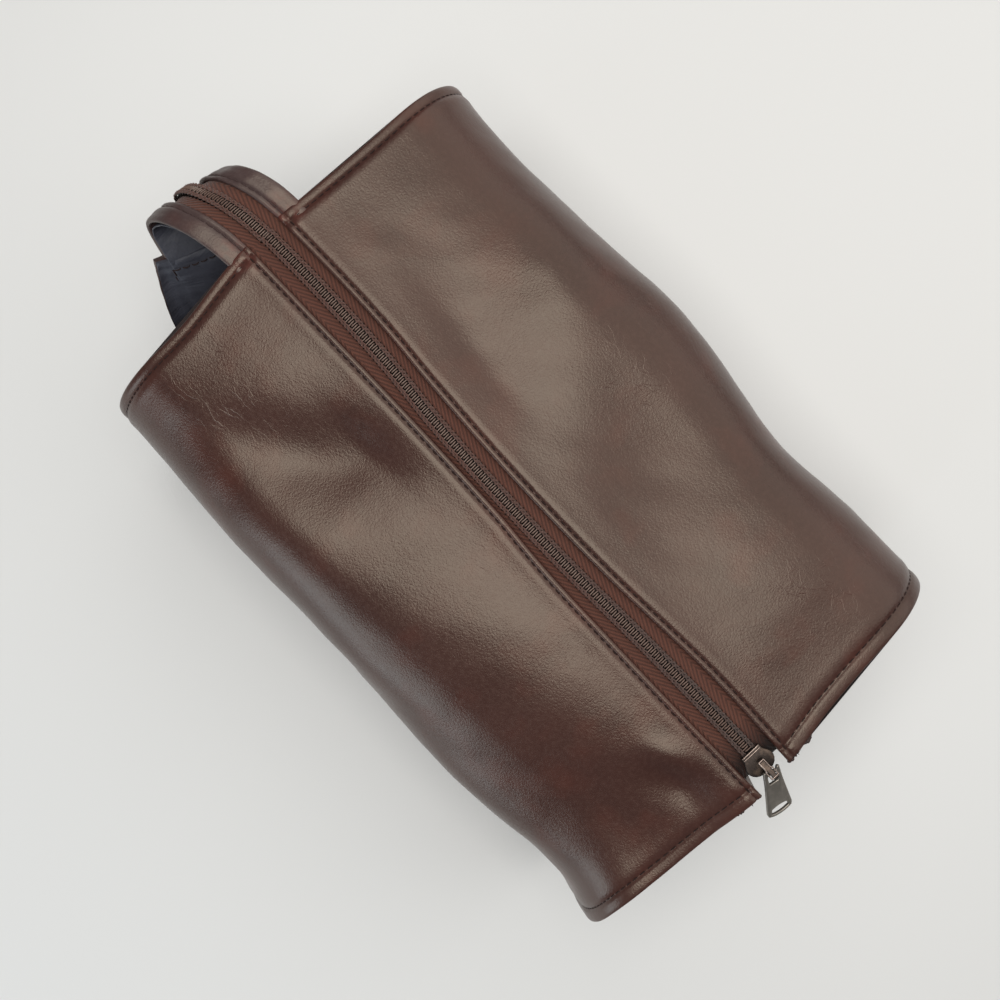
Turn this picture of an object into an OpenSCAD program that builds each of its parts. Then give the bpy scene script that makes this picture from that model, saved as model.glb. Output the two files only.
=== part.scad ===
// Boxy leather shaving kit bag with a coil zip along the top, two flaps that part when the zip is
// drawn, and a zip tail that curls over one end and is held by a sleeve to make a carrying loop.
// X runs along the zip towards its closed end, Y runs across the bag, Z is up.
// The origin is the centre of the underside.

/* [Bag] */
// Length over the end seams
bag_length = 256; // [220:1:300]
// Width across the side walls
bag_width = 176; // [160:1:200]
// Height at the zip
bag_height = 118; // [112:1:124]
// Radius of the shoulders, where the sides turn into the top
shoulder_radius = 33; // [28:1:36]
// Radius of the two long bottom edges
base_radius = 14; // [10:1:18]
// Fall of the top from the zip to the shoulders, in degrees
crown_angle = 6; // [4:1:8]

/* [Leather and lining] */
// Thickness of the leather
leather = 1.4; // [1.2:0.1:1.6]
// Width of the outward seam round each end panel
seam_allowance = 4.5; // [3:0.5:6]
// Thickness of the lining
lining = 0.6; // [0.4:0.1:0.8]
// Thickness of the stiff board in the base
board = 2; // [1:0.5:2]
// Width of the hem turned under beside the zip
hem_width = 10; // [8:1:12]

/* [Zip] */
// Half the width of zip tape that shows between the flaps
zip_opening = 7.2; // [6.5:0.1:9]
// Thickness of the woven tape
tape = 0.6; // [0.4:0.1:0.7]
// Width of the closed coil
coil_width = 6; // [5:0.5:6]
// Height of the coil above the tape
coil_height = 1.9; // [1.6:0.1:2]
// Distance from one turn of the coil to the next
coil_pitch = 1.75; // [1.5:0.05:2.4]
// Length of the slider's body
slider_length = 10.5; // [10:0.5:12]
// Length of the pull from its pivot to its end
pull_length = 20.5; // [16:0.5:20.5]
// Sideways lean of the pull, in degrees
pull_yaw = -24; // [-24:1:24]
// Droop of the pull as it hangs over the end, in degrees
pull_droop = 31; // [10:1:38]

/* [Carrying loop] */
// Half the width of the zip tail with its leather edges
tail_half_width = 16.5; // [14:0.5:18]
// Half the width of the sleeve at its mouth
sleeve_mouth = 20; // [19:0.5:24]
// Half the width of the sleeve where it is sewn to the end panel
sleeve_foot = 33; // [24:0.5:34]
// How much further than that the front edge of the foot stands out
sleeve_skew = 11; // [0:1:12]

/* [Stitching] */
// Distance from one stitch to the next
stitch_pitch = 3.2; // [2.5:0.1:4]
// Thickness of the thread
thread = 0.6; // [0.4:0.1:0.8]

/* [Hidden] */

leather_brown = [0.30, 0.19, 0.16];
lining_black = [0.13, 0.13, 0.16];
tape_brown = [0.36, 0.20, 0.16];
coil_brown = [0.12, 0.08, 0.07];
gunmetal = [0.45, 0.42, 0.38];
thread_brown = [0.22, 0.14, 0.12];
board_grey = [0.55, 0.53, 0.50];

gap = 0.3;                 // clearance between pieces that move apart
arc_steps = 16;
half_length = bag_length / 2;
shoulder_y = bag_width / 2 - shoulder_radius;
shoulder_z = bag_height - shoulder_radius * cos(crown_angle)
    - (shoulder_y + shoulder_radius * sin(crown_angle)) * tan(crown_angle);
panel_outside = half_length - seam_allowance;
hem_depth = 2 * leather;
tape_depth = hem_depth + tape;
tape_top = bag_height - hem_depth / cos(crown_angle);
tape_reach = zip_opening + 8.5;
coil_end = half_length - 8.6;      // the last turn lies inside the slider's mouth
tail_start = half_length - 0.2;
lining_depth = 3.7;

// ---- cross section of the bag, in (y, z), at a depth inside the outer surface ----

function crown_z(y, depth) = bag_height - depth / cos(crown_angle) - abs(y) * tan(crown_angle);

function shoulder_arc(depth) = [
    for (i = [0:arc_steps])
        let (t = crown_angle + (90 - crown_angle) * i / arc_steps)
        [shoulder_y + (shoulder_radius - depth) * sin(t), shoulder_z + (shoulder_radius - depth) * cos(t)]
];

function base_arc(depth) = [
    for (i = [0:arc_steps])
        let (t = 90 * i / arc_steps)
        [bag_width / 2 - base_radius + (base_radius - depth) * cos(t),
         base_radius - (base_radius - depth) * sin(t)]
];

function reversed(path) = [for (i = [len(path) - 1:-1:0]) path[i]];
function mirrored(path) = [for (p = path) [-p[0], p[1]]];
function both_sides(path) = concat(path, reversed(mirrored(path)));

// Down one side wall from a height to the underside
function side_path(depth, height) = concat([[bag_width / 2 - depth, height]], base_arc(depth));

// Extrudes a (y, z) outline along X, centred on x
module along_x(length, x = 0) {
    translate([x - length / 2, 0, 0]) rotate([90, 0, 90]) linear_extrude(length) children();
}

// The side of the bag: -1 is the front, +1 is the back
module on_side(side) {
    if (side < 0) mirror([0, 1, 0]) children();
    else children();
}

// ---- shell ----

module body_wrap() {
    outer = both_sides(side_path(0, shoulder_z - gap));
    inner = both_sides(side_path(leather, shoulder_z - gap));
    color(leather_brown) along_x(bag_length) polygon(concat(outer, reversed(inner)));
}

// Outline of an end panel: hard against the wrap, and clear of the flaps above it
function panel_outline(depth) = concat([[0, crown_z(0, depth + gap)]], both_sides(concat(
    shoulder_arc(depth + gap), [[bag_width / 2 - depth - gap, shoulder_z - gap]],
    side_path(depth, shoulder_z - gap)
)));

// A panel recessed by the seam allowance, with a rim turned outward under the wrap's edge.
// Its top is cut away at the middle for the zip to pass over.
module end_panel(end, notch_bottom) {
    notch_half_width = zip_opening + hem_width + 1;
    color(leather_brown) difference() {
        along_x(seam_allowance + leather, end * (panel_outside + (seam_allowance - leather) / 2))
            polygon(panel_outline(leather));
        along_x(seam_allowance + 1, end * (panel_outside + (seam_allowance + 1) / 2))
            polygon(panel_outline(2 * leather));
        translate([end * half_length - 10, -notch_half_width, notch_bottom])
            cube([20, 2 * notch_half_width, bag_height]);
    }
}

module slider_end_panel() { end_panel(1, bag_height - 12.5); }
module loop_end_panel() { end_panel(-1, bag_height - 6); }

module body_lining() {
    outside = panel_outside - leather - gap;
    color(lining_black) difference() {
        along_x(2 * outside) polygon(both_sides(side_path(lining_depth, shoulder_z - 2)));
        along_x(2 * (outside - lining)) polygon(both_sides(side_path(lining_depth + lining, shoulder_z)));
    }
}

module base_board() {
    half_x = panel_outside - leather - 3;
    half_y = bag_width / 2 - base_radius;
    color(board_grey) translate([-half_x, -half_y, leather + 0.1]) cube([2 * half_x, 2 * half_y, board]);
}

// ---- flaps ----

module flap_leather(side) {
    hem_end = zip_opening + hem_width;
    color(leather_brown) on_side(side) along_x(bag_length) polygon(concat(
        [[zip_opening, crown_z(zip_opening, 0)]], shoulder_arc(0), reversed(shoulder_arc(leather)),
        [[hem_end, crown_z(hem_end, leather)], [hem_end, crown_z(hem_end, hem_depth)],
         [zip_opening, crown_z(zip_opening, hem_depth)]]
    ));
}

module flap_lining(side) {
    depth = leather + 0.2;
    start = zip_opening + hem_width + 0.5;
    color(lining_black) on_side(side) along_x(bag_length - 2 * seam_allowance - 6) polygon(concat(
        [[start, crown_z(start, depth)]], shoulder_arc(depth), reversed(shoulder_arc(depth + lining)),
        [[start, crown_z(start, depth + lining)]]
    ));
}

// A row of stitches that lie along X on the top of a flap
module zip_stitching(side) {
    y = zip_opening + 2.2;
    count = floor((bag_length - 12) / stitch_pitch);
    color(thread_brown) on_side(side)
        for (i = [0:count - 1])
            translate([(i - (count - 1) / 2) * stitch_pitch - stitch_pitch * 0.35, y, crown_z(y, 0)])
                rotate([-crown_angle, 0, 0]) translate([0, -thread / 2, 0])
                    cube([stitch_pitch * 0.7, thread, thread / 2]);
}

// Stitches along the end seams, from the zip to the shoulder
module flap_end_stitching(side) {
    count = floor((shoulder_y - zip_opening - 4) / stitch_pitch);
    color(thread_brown) on_side(side)
        for (end = [-1, 1], i = [0:count - 1])
            let (y = zip_opening + 4 + i * stitch_pitch)
            translate([end * (panel_outside + 1.5) - thread / 2, y, crown_z(y, 0)])
                rotate([-crown_angle, 0, 0])
                    cube([thread, stitch_pitch * 0.7, thread / 2]);
}

// Stitches along the end seams, down the side walls
module side_seam_stitching() {
    low = base_radius + 2;
    count = floor((shoulder_z - low - 4) / stitch_pitch);
    color(thread_brown)
        for (side = [-1, 1], end = [-1, 1], i = [0:count - 1])
            on_side(side)
                translate([end * (panel_outside + 1.5) - thread / 2, bag_width / 2, low + i * stitch_pitch])
                    cube([thread, thread / 2, stitch_pitch * 0.7]);
}

// ---- zip ----

module zip_tape(side) {
    end = coil_end + 1.4;
    color(tape_brown) on_side(side) along_x(end + tail_start, (end - tail_start) / 2) polygon([
        [gap, crown_z(gap, hem_depth)],
        [tape_reach, crown_z(tape_reach, hem_depth)],
        [tape_reach, crown_z(tape_reach, tape_depth)],
        [gap, crown_z(gap, tape_depth)]
    ]);
}

tooth_width = 0.42 * coil_pitch;
tooth_root = 1.3;
tooth_tip = 1;

// Outline of one row of coil seen from above, with a tooth for every turn
function coil_outline(first, count) = concat(
    [[first + count * coil_pitch, coil_width / 2], [first, coil_width / 2]],
    [for (i = [0:count - 1], p = [[0, tooth_root], [0, -tooth_tip], [tooth_width, -tooth_tip],
                                  [tooth_width, tooth_root]])
        [first + (i + 0.25) * coil_pitch + p[0], p[1]]],
    [[first + count * coil_pitch, tooth_root]]
);

module coil(side) {
    count = floor((coil_end + tail_start - coil_pitch) / coil_pitch);
    color(coil_brown) on_side(side) translate([0, 0, tape_top + 0.02]) linear_extrude(coil_height)
        polygon(coil_outline(side < 0 ? -tail_start : -tail_start + coil_pitch / 2, count));
}

// ---- slider and pull ----

slider_rear = half_length - 14;
slider_front = slider_rear + slider_length;
plate = 1;
upper_plate = tape_top + coil_height + gap;       // underside of the upper plate
lower_plate = tape_top - tape - 0.9;              // top of the lower plate
pivot_x = slider_front + 0.6;
pivot_z = upper_plate + plate + 1.05;
bridge_width = 1.8;
bar = 0.6;

// Half outline of the slider from its mouth to its nose, as shares of its length and half widths
slider_outline = [[0, 4.1], [0.3, 4.1], [0.48, 4.9], [0.62, 5.4], [0.79, 5.3], [0.91, 4.4], [0.98, 3], [1, 1.2]];

module slider_plate() {
    polygon(concat(
        [for (p = slider_outline) [p[0] * slider_length, p[1]]],
        [for (i = [len(slider_outline) - 1:-1:0]) [slider_outline[i][0] * slider_length, -slider_outline[i][1]]]
    ));
}

module slider_body() {
    color(gunmetal) translate([slider_rear, 0, 0]) {
        translate([0, 0, upper_plate]) linear_extrude(plate) slider_plate();
        translate([0, 0, lower_plate - plate]) linear_extrude(plate) slider_plate();
        for (side = [-1, 1]) on_side(side)
            translate([0, 3.4, upper_plate - 1.2]) cube([slider_length * 0.5, 0.7, 1.3]);
        translate([slider_length * 0.78, 0, lower_plate - plate / 2])
            cylinder(h = upper_plate - lower_plate + plate, r = 1.1, $fn = 32);
        for (side = [-1, 1]) on_side(side)
            translate([slider_length * 0.3, 2.6, upper_plate + plate - 0.1])
                cube([slider_length * 0.4, 0.6, 0.4]);
    }
}

// Side view of the arch that carries the pull, round the pivot at the origin
module bridge_outline() {
    difference() {
        polygon([[-6, -1.05], [-6, 1.2], [-5.2, 2.1], [1.8, 2.1], [2.5, 1.4], [2.5, -1.5], [2, -2.05],
                 [-0.6, -2.05], [-0.6, -1.05]]);
        polygon([[-4.6, -1.05], [-4.6, 0.8], [-4.3, 1.05], [1.15, 1.05], [1.4, 0.8], [1.4, -0.8], [1.15, -1.05]]);
    }
}

module slider_bridge() {
    color(gunmetal) translate([pivot_x, bridge_width / 2, pivot_z]) rotate([90, 0, 0])
        linear_extrude(bridge_width) bridge_outline();
}

// The pull drawn flat, pointing along +X from its pivot
module pull_flat() {
    neck = 3.6;
    wide = 5.5;
    hole_end = 4.6;
    end_radius = 11;
    translate([0, 0, -bar]) linear_extrude(2 * bar) difference() {
        intersection() {
            polygon([[0, neck], [hole_end, neck], [pull_length, wide], [pull_length, -wide], [hole_end, -neck],
                     [0, -neck]]);
            translate([pull_length - end_radius, 0]) {
                circle(r = end_radius, $fn = 64);
                translate([-pull_length, -pull_length]) square([pull_length, 2 * pull_length]);
            }
        }
        translate([-1, -2]) square([hole_end + 1, 4]);
        intersection() {
            translate([pull_length - end_radius - 1.4, 0]) circle(r = end_radius, $fn = 64);
            translate([pull_length - 4.2, -3.9]) square([4, 7.8]);
        }
    }
    rotate([90, 0, 0]) cylinder(h = 2 * neck, r = bar, center = true, $fn = 32);
}

module pull_tab() {
    color(gunmetal) translate([pivot_x, 0, pivot_z]) rotate([0, 0, pull_yaw]) rotate([0, pull_droop, 0])
        pull_flat();
}

// ---- carrying loop ----

// Hand-set route of the zip tape from the bag, over the loop and down to the end panel, as [x, z, y]
loop_points = [
    [-118, 114.9, 0], [-123, 114.9, 0], [-128, 114.9, 0], [-138.5, 115.6, -1], [-148.4, 115.2, -3.2],
    [-157.2, 111.4, -6.5], [-162.6, 104.5, -10], [-164, 96, -13.5], [-161.4, 87, -16.5], [-156, 76, -18.5],
    [-150, 64, -19.5], [-143, 52, -19], [-135.5, 41.5, -18], [-129, 32.5, -17], [-125.4, 24, -16],
    [-124.8, 14, -15.5]
];
steps_per_point = 3;
loop_last = (len(loop_points) - 1) * steps_per_point;

function curve_at(p, i, t) =
    let (a = p[max(i - 1, 0)], b = p[i], c = p[min(i + 1, len(p) - 1)], d = p[min(i + 2, len(p) - 1)])
    0.5 * (2 * b + (c - a) * t + (2 * a - 5 * b + 4 * c - d) * t * t + (3 * b - a - 3 * c + d) * t * t * t);

function loop_at(k) =
    let (m = min(max(k, 0), loop_last), i = min(floor(m / steps_per_point), len(loop_points) - 2))
    curve_at(loop_points, i, m / steps_per_point - i);

// Unit vector out of the loop, in (x, z)
function loop_normal(k) =
    let (d = loop_at(k + 0.5) - loop_at(k - 0.5), l = norm([d[0], d[1]]))
    [d[1] / l, -d[0] / l];

function ease(t) = let (u = min(max(t, 0), 1)) u * u * (3 - 2 * u);

// How far the loop leans towards the bag: its back edge more than its front edge, its lower half more than its top
function loop_lean(k, across) =
    let (m = k / steps_per_point, turned = ease((m - 6.2) / 2.2), landed = ease((m - 9.5) / 4))
    ease((m - 2) / 4) * (1 - turned) * (1.3 + 0.16 * across) + turned * (1 - landed) * (14.5 + 0.2 * across);

function loop_corner(k, across, out) =
    let (p = loop_at(k), n = loop_normal(k))
    [p[0] + n[0] * out + loop_lean(k, across), p[2] + across, p[1] + n[1] * out];

// A strip that follows the loop. across and out hold [low, high] at its start and at its end.
module loop_strip(first, last, across_start, across_end, out_start, out_end) {
    count = ceil(last - first);
    function mix(a, b, k) = a + (b - a) * k / count;
    points = [
        for (k = [0:count], c = [[0, 0], [1, 0], [1, 1], [0, 1]])
            loop_corner(mix(first, last, k), mix(across_start[c[0]], across_end[c[0]], k),
                        mix(out_start[c[1]], out_end[c[1]], k))
    ];
    sides = [
        for (k = [0:count - 1], c = [0:3])
            let (a = 4 * k + c, b = 4 * k + (c + 1) % 4)
            for (f = [[a, b + 4, b], [a, a + 4, b + 4]]) f
    ];
    ends = [[0, 1, 2], [0, 2, 3], [4 * count, 4 * count + 2, 4 * count + 1], [4 * count, 4 * count + 3, 4 * count + 2]];
    polyhedron(points, concat(sides, ends));
}

module even_strip(first, last, across, out) {
    loop_strip(first, last, across, across, out, out);
}

tail_from = 6.15;          // just past the end of the flaps
tail_end = 27;
sleeve_start = 23;

module tail_edging(side) {
    across = side < 0 ? [-tail_half_width, -zip_opening] : [zip_opening, tail_half_width];
    color(leather_brown) even_strip(tail_from, tail_end, across, [tape / 2 + 0.1, tape / 2 + 0.1 + leather]);
}

module tail_tape(side) {
    across = side < 0 ? [1 - tail_half_width, -0.1] : [0.1, tail_half_width - 1];
    color(tape_brown) even_strip(tail_from, tail_end, across, [-tape / 2, tape / 2]);
}

module tail_coil() {
    color(coil_brown) even_strip(tail_from, tail_end - 1, [-coil_width / 2, coil_width / 2],
                                 [tape / 2 + 0.02, tape / 2 + coil_height]);
}

module tail_lining() {
    color(lining_black) even_strip(tail_from, tail_end, [-tail_half_width, tail_half_width],
                                   [-tape / 2 - 0.1 - lining, -tape / 2 - 0.1]);
}

module tail_stop() {
    color(gunmetal) even_strip(tail_end - 0.9, tail_end - 0.1, [-3.2, 3.2], [tape / 2 + 0.02, tape / 2 + 1.6]);
}

sleeve_lift = 2.8;         // outer face of the tail to the sleeve's leather at the mouth
sleeve_drop = 1.3;         // middle of the tail to the sleeve's lining at the mouth
sleeve_count = loop_last - sleeve_start;

module sleeve_leather() {
    color(leather_brown) loop_strip(sleeve_start, loop_last, [-sleeve_mouth, sleeve_mouth],
        [-sleeve_foot - sleeve_skew, sleeve_foot], [sleeve_lift, sleeve_lift + leather], [0.2, 0.2 + leather]);
}

module sleeve_lining() {
    color(lining_black) loop_strip(sleeve_start, loop_last, [-sleeve_mouth, sleeve_mouth],
        [-sleeve_foot - sleeve_skew, sleeve_foot], [-sleeve_drop - lining, -sleeve_drop],
        [-sleeve_drop + 0.6 - lining, -sleeve_drop + 0.6]);
}

// Stitches down both edges of the sleeve and across its mouth on the lining that faces the bag,
// and across its foot on the leather, where it is sewn to the end panel
module sleeve_stitching() {
    clear = 0.12;
    rise = thread / 2;
    function inset(k) = sleeve_mouth + (sleeve_foot - sleeve_mouth) * k / sleeve_count - 3.5;
    function edge(k, side) = side * inset(k) - (side < 0 ? sleeve_skew * k / sleeve_count : 0);
    function inner(k) = -sleeve_drop - lining - clear + 0.6 * k / sleeve_count;
    function outer(k) = sleeve_lift + leather + clear + (0.2 - sleeve_lift) * k / sleeve_count;
    module stitch(k, length, y, width, out) {
        even_strip(sleeve_start + k, sleeve_start + k + length, [y, y + width], out);
    }
    color(thread_brown) {
        for (k = [1:sleeve_count - 7], side = [-1, 1])
            stitch(k + 0.2, 0.6, edge(k, side) - thread / 2, thread, [inner(k) - rise, inner(k)]);
        for (y = [-inset(1) + stitch_pitch:stitch_pitch:inset(1) - stitch_pitch])
            stitch(1.2, 0.12, y, stitch_pitch * 0.6, [inner(1) - rise, inner(1)]);
        for (y = [-inset(19):stitch_pitch:inset(19) - stitch_pitch])
            stitch(19.4, 0.15, y, stitch_pitch * 0.6, [outer(19), outer(19) + rise]);
    }
}

// ---- nodes ----

body_wrap();
slider_end_panel();
loop_end_panel();
body_lining();
base_board();
side_seam_stitching();
flap_leather(-1);  // front_flap_leather
flap_lining(-1);  // front_flap_lining
zip_tape(-1);  // front_zip_tape
coil(-1);  // front_coil
zip_stitching(-1);  // front_zip_stitching
flap_end_stitching(-1);  // front_flap_end_stitching
flap_leather(1);  // back_flap_leather
flap_lining(1);  // back_flap_lining
zip_tape(1);  // back_zip_tape
coil(1);  // back_coil
zip_stitching(1);  // back_zip_stitching
flap_end_stitching(1);  // back_flap_end_stitching
slider_body();
slider_bridge();
pull_tab();
tail_edging(-1);  // tail_front_edging
tail_edging(1);  // tail_back_edging
tail_tape(-1);  // tail_front_tape
tail_tape(1);  // tail_back_tape
tail_coil();
tail_lining();
tail_stop();
sleeve_leather();
sleeve_lining();
sleeve_stitching();
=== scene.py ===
"""Leather shaving kit bag: the visual model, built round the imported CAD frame.

Shapes are worked out in millimetres in the row frame and written to the meshes in metres.
"""

import math

import bmesh
import bpy
import numpy as np
from mathutils import Matrix, Vector


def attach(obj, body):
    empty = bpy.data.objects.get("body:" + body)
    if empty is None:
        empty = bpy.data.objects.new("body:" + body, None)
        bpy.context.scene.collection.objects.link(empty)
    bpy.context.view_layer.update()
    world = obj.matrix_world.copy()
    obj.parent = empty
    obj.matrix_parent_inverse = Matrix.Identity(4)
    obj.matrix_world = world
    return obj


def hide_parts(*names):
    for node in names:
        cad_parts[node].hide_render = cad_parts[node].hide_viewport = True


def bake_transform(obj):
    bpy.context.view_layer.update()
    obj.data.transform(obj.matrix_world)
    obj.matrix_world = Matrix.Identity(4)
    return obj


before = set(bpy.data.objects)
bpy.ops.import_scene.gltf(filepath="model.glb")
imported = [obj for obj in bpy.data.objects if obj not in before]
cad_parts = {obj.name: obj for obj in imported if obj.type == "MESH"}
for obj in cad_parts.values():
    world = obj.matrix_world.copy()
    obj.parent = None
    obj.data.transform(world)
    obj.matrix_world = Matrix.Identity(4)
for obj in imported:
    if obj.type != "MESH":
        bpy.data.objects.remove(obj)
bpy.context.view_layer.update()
rng = np.random.default_rng(11)
MM = 0.001


def linked(name, data):
    """An object of that data, in the scene."""
    obj = bpy.data.objects.new(name, data)
    bpy.context.scene.collection.objects.link(obj)
    return obj



# ---- camera

cam_data = bpy.data.cameras.new("camera")
cam_data.sensor_width = 36
cam_data.lens = 38.6
cam = linked("camera", cam_data)
cam.matrix_world = Matrix(((0.687, -0.727, 0, -0.0063), (0.727, 0.687, 0, -0.0035), (0, 0, 1, 0.486),
                           (0, 0, 0, 1)))
bpy.context.scene.camera = cam

# ---- curves and noise


def smooth(t):
    t = np.clip(t, 0, 1)
    return t * t * (3 - 2 * t)


def through(points, x):
    """A smooth curve through given (x, value) points."""
    px, py = np.array(points, float).T
    slope = np.gradient(py, px)
    x = np.clip(np.asarray(x, float), px[0], px[-1])
    i = np.clip(np.searchsorted(px, x) - 1, 0, len(px) - 2)
    h = px[i + 1] - px[i]
    t = (x - px[i]) / h
    return (
        (2 * t**3 - 3 * t**2 + 1) * py[i]
        + (t**3 - 2 * t**2 + t) * h * slope[i]
        + (3 * t**2 - 2 * t**3) * py[i + 1]
        + (t**3 - t**2) * h * slope[i + 1]
    )


def ripple(a, b, seed, size):
    """Smooth irregular waves of about that size, between -1 and 1."""
    r = np.random.default_rng(seed)
    total = 0
    for _ in range(7):
        angle, phase = r.uniform(0, 2 * math.pi, 2)
        k = 2 * math.pi / (size * r.uniform(0.7, 1.6))
        total = total + np.sin(k * (a * math.cos(angle) + b * math.sin(angle)) + phase)
    return total / 4


# ---- shape of the bag

LENGTH, WIDTH, HEIGHT = 256.0, 176.0, 118.0
HALF, SIDE_Y = LENGTH / 2, WIDTH / 2
SHOULDER, BASE, CROWN = 33.0, 14.0, math.radians(6)
SEAM = 4.5
LEATHER, LINING = 1.4, 0.6
SHOULDER_Y = SIDE_Y - SHOULDER
SHOULDER_Z = HEIGHT - SHOULDER * math.cos(CROWN) - (SHOULDER_Y + SHOULDER * math.sin(CROWN)) * math.tan(CROWN)
# Arc length from the middle of the top: end of the crown, of the shoulder, of the wall, of the base arc
P1 = (SHOULDER_Y + SHOULDER * math.sin(CROWN)) / math.cos(CROWN)
P2 = P1 + SHOULDER * (math.pi / 2 - CROWN)
P3 = P2 + SHOULDER_Z - BASE
P4 = P3 + BASE * math.pi / 2
P5 = P4 + SIDE_Y - BASE
STITCH = 3.2
FOLD = 1.1  # radius of the turned edge beside the zip
FRONT, BACK = -1, 1
SIDE_NAME = {FRONT: "front", BACK: "back"}

# Middle of the coil, and the turned edges of the leather, as (x, y)
COIL_LINE = [(-130, 0.8), (-105, 1.4), (-85, 1.3), (-64, 0.5), (-43, -1.2), (-25, -2.0), (0, -2.5),
             (30, -2.3), (55, -1.4), (80, -0.8), (130, -0.6)]
EDGE = {
    BACK: [(-130, 7.6), (-98, 8.0), (-71, 7.4), (-57, 6.4), (-43, 5.7), (-16, 4.7), (12, 4.5), (39, 5.0),
           (66, 6.5), (82, 7.4), (107, 7.5), (130, 6.8)],
    FRONT: [(-130, 6.7), (-98, 6.5), (-43, 6.3), (-16, 6.6), (0, 7.0), (12, 7.8), (25, 8.4), (50, 8.6),
            (100, 8.4), (130, 7.9)],
}
# Dents and swellings of the leather: x, arc length, width along each, turn in degrees, height
RELIEF = {
    FRONT: [
        (-61, 41, 36, 17, -46, -4.8),
        (-90, 58, 20, 12, -42, -1.6),
        (-34, 70, 22, 16, -38, 1.0),
        (-108, 86, 34, 22, 0, -2.2),
        (66, 72, 68, 22, -20, -6.5),
        (112, 92, 46, 34, 0, -7.0),
        (2, 104, 40, 20, 0, -3.5),
        (6, 69, 36, 14, -6, -2.2),
        (30, 34, 40, 18, -15, 1.4),
        (128, 36, 24, 26, 0, -2.8),
        (100, 18, 11, 6, -40, 3.4),
        (109, 24, 12, 8, -40, -2.6),
    ],
    BACK: [
        (-52, 28, 30, 13, -12, -2.2),
        (20, 42, 26, 20, 0, -2.8),
        (-44, 62, 46, 15, -32, 2.6),
        (28, 66, 24, 22, -50, -1.6),
        (-92, 88, 34, 24, 0, -3.4),
        (-14, 100, 30, 30, 0, 3.2),
        (52, 102, 28, 30, 0, -3.6),
        (86, 56, 36, 26, 0, 1.8),
    ],
}
# How far the side stands further out, along x
LEAN = {
    FRONT: [(-128, -2.9), (-100, -1.2), (-70, -0.4), (-40, 0.6), (0, 4.0), (40, 4.2), (75, 2.8), (100, 1.2),
            (114, 2.0), (128, 5.5)],
    BACK: [(-128, 3.8), (-60, 3.8), (0, 3.8), (50, 3.4), (90, 2.6), (128, 2.4)],
}
# How far each panel's cut end stands beyond its plain place, along y
END_SHIFT = {
    (BACK, 1): [(0, 0), (8, -0.2), (30, -3.2), (53, -5.0), (88, -6.0)],
    (FRONT, 1): [(0, 1.8), (10, 1.8), (45, 2.0), (75, 1.8), (88, 4.2)],
    (BACK, -1): [(0, 1.8), (10, 1.6), (50, 0.6), (88, 1.6)],
    (FRONT, -1): [(0, 1.8), (10, 1.8), (45, -1.6), (70, -1.0), (88, 0.4)],
}
# Relief beside a cut end and beside the zip: distance from the edge, height. The dips take the stitches.
RIM_END = [(0, -0.2), (0.6, 0.1), (1.7, 0.2), (2.6, 0.0), (3.3, -0.6), (4.0, -0.1), (5.2, 0.28), (8, 0.15),
           (13, 0)]
RIM_ZIP = [(0, 0), (1.1, 0.0), (1.6, -0.02), (2.3, -0.55), (3.1, -0.05), (4.6, 0.26), (7, 0.12), (10, 0)]


def section(p):
    """The plain cross section at an arc length from the middle of the top: y, z and the outward normal."""
    p = np.asarray(p, float)
    t1 = CROWN + (p - P1) / SHOULDER
    t2 = (p - P3) / BASE
    where = [p < P1, p < P2, p < P3, p < P4]
    y = np.select(where, [p * math.cos(CROWN), SHOULDER_Y + SHOULDER * np.sin(t1), SIDE_Y + 0 * p,
                          SIDE_Y - BASE + BASE * np.cos(t2)], SIDE_Y - BASE - (p - P4))
    z = np.select(where, [HEIGHT - p * math.sin(CROWN), SHOULDER_Z + SHOULDER * np.cos(t1),
                          SHOULDER_Z - (p - P2), BASE - BASE * np.sin(t2)], 0 * p)
    ny = np.select(where, [math.sin(CROWN) + 0 * p, np.sin(t1), 1 + 0 * p, np.cos(t2)], 0 * p)
    nz = np.select(where, [math.cos(CROWN) + 0 * p, np.cos(t1), 0 * p, -np.sin(t2)], -1 + 0 * p)
    return y, z, ny, nz


def seam_row(side, x):
    """How far from the end the row of stitches runs: the slider end's seam is wider."""
    return 3.7 + (1.6 if side == BACK else 1.1) * smooth(np.asarray(x, float) / 60)


def edge_start(side, x):
    """Arc length at which the turned edge beside the zip begins."""
    return through(EDGE[side], x) / math.cos(CROWN)


def relief(side, x, p):
    x, p = np.broadcast_arrays(np.asarray(x, float), np.asarray(p, float))
    h = np.zeros(x.shape)
    for cx, cp, wx, wp, turn, height in RELIEF[side]:
        c, s = math.cos(math.radians(turn)), math.sin(math.radians(turn))
        a, b = (x - cx) * c + (p - cp) * s, (p - cp) * c - (x - cx) * s
        h += height * np.exp(-((a / wx) ** 2) - (b / wp) ** 2)
    from_end = HALF - np.abs(x)
    from_zip = p - edge_start(side, x)
    h += (0.35 * ripple(x, p, 5 + side, 46) + 0.12 * ripple(x, p, 8 + side, 17)) * smooth((from_end - 4) / 24)
    h *= smooth((from_zip - 2) / 20)
    # Nothing swells below the underside
    h *= 1 - smooth((p - P3 + 26) / 30)
    seam = through(RIM_END, from_end * 3.3 / seam_row(side, x))
    h += seam * np.where(p < P2 + 70, 1, 0.6)
    h += through(RIM_ZIP, from_zip)
    # The thread draws the leather in at every hole
    row_zip = np.exp(-(((from_zip - 2.3) / 1.3) ** 2)) * np.cos(2 * math.pi * x / STITCH)
    row_end = np.exp(-(((from_end - seam_row(side, x)) / 1.4) ** 2)) * np.cos(2 * math.pi * p / STITCH)
    h += 0.15 * row_zip + 0.17 * row_end
    return h


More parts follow.
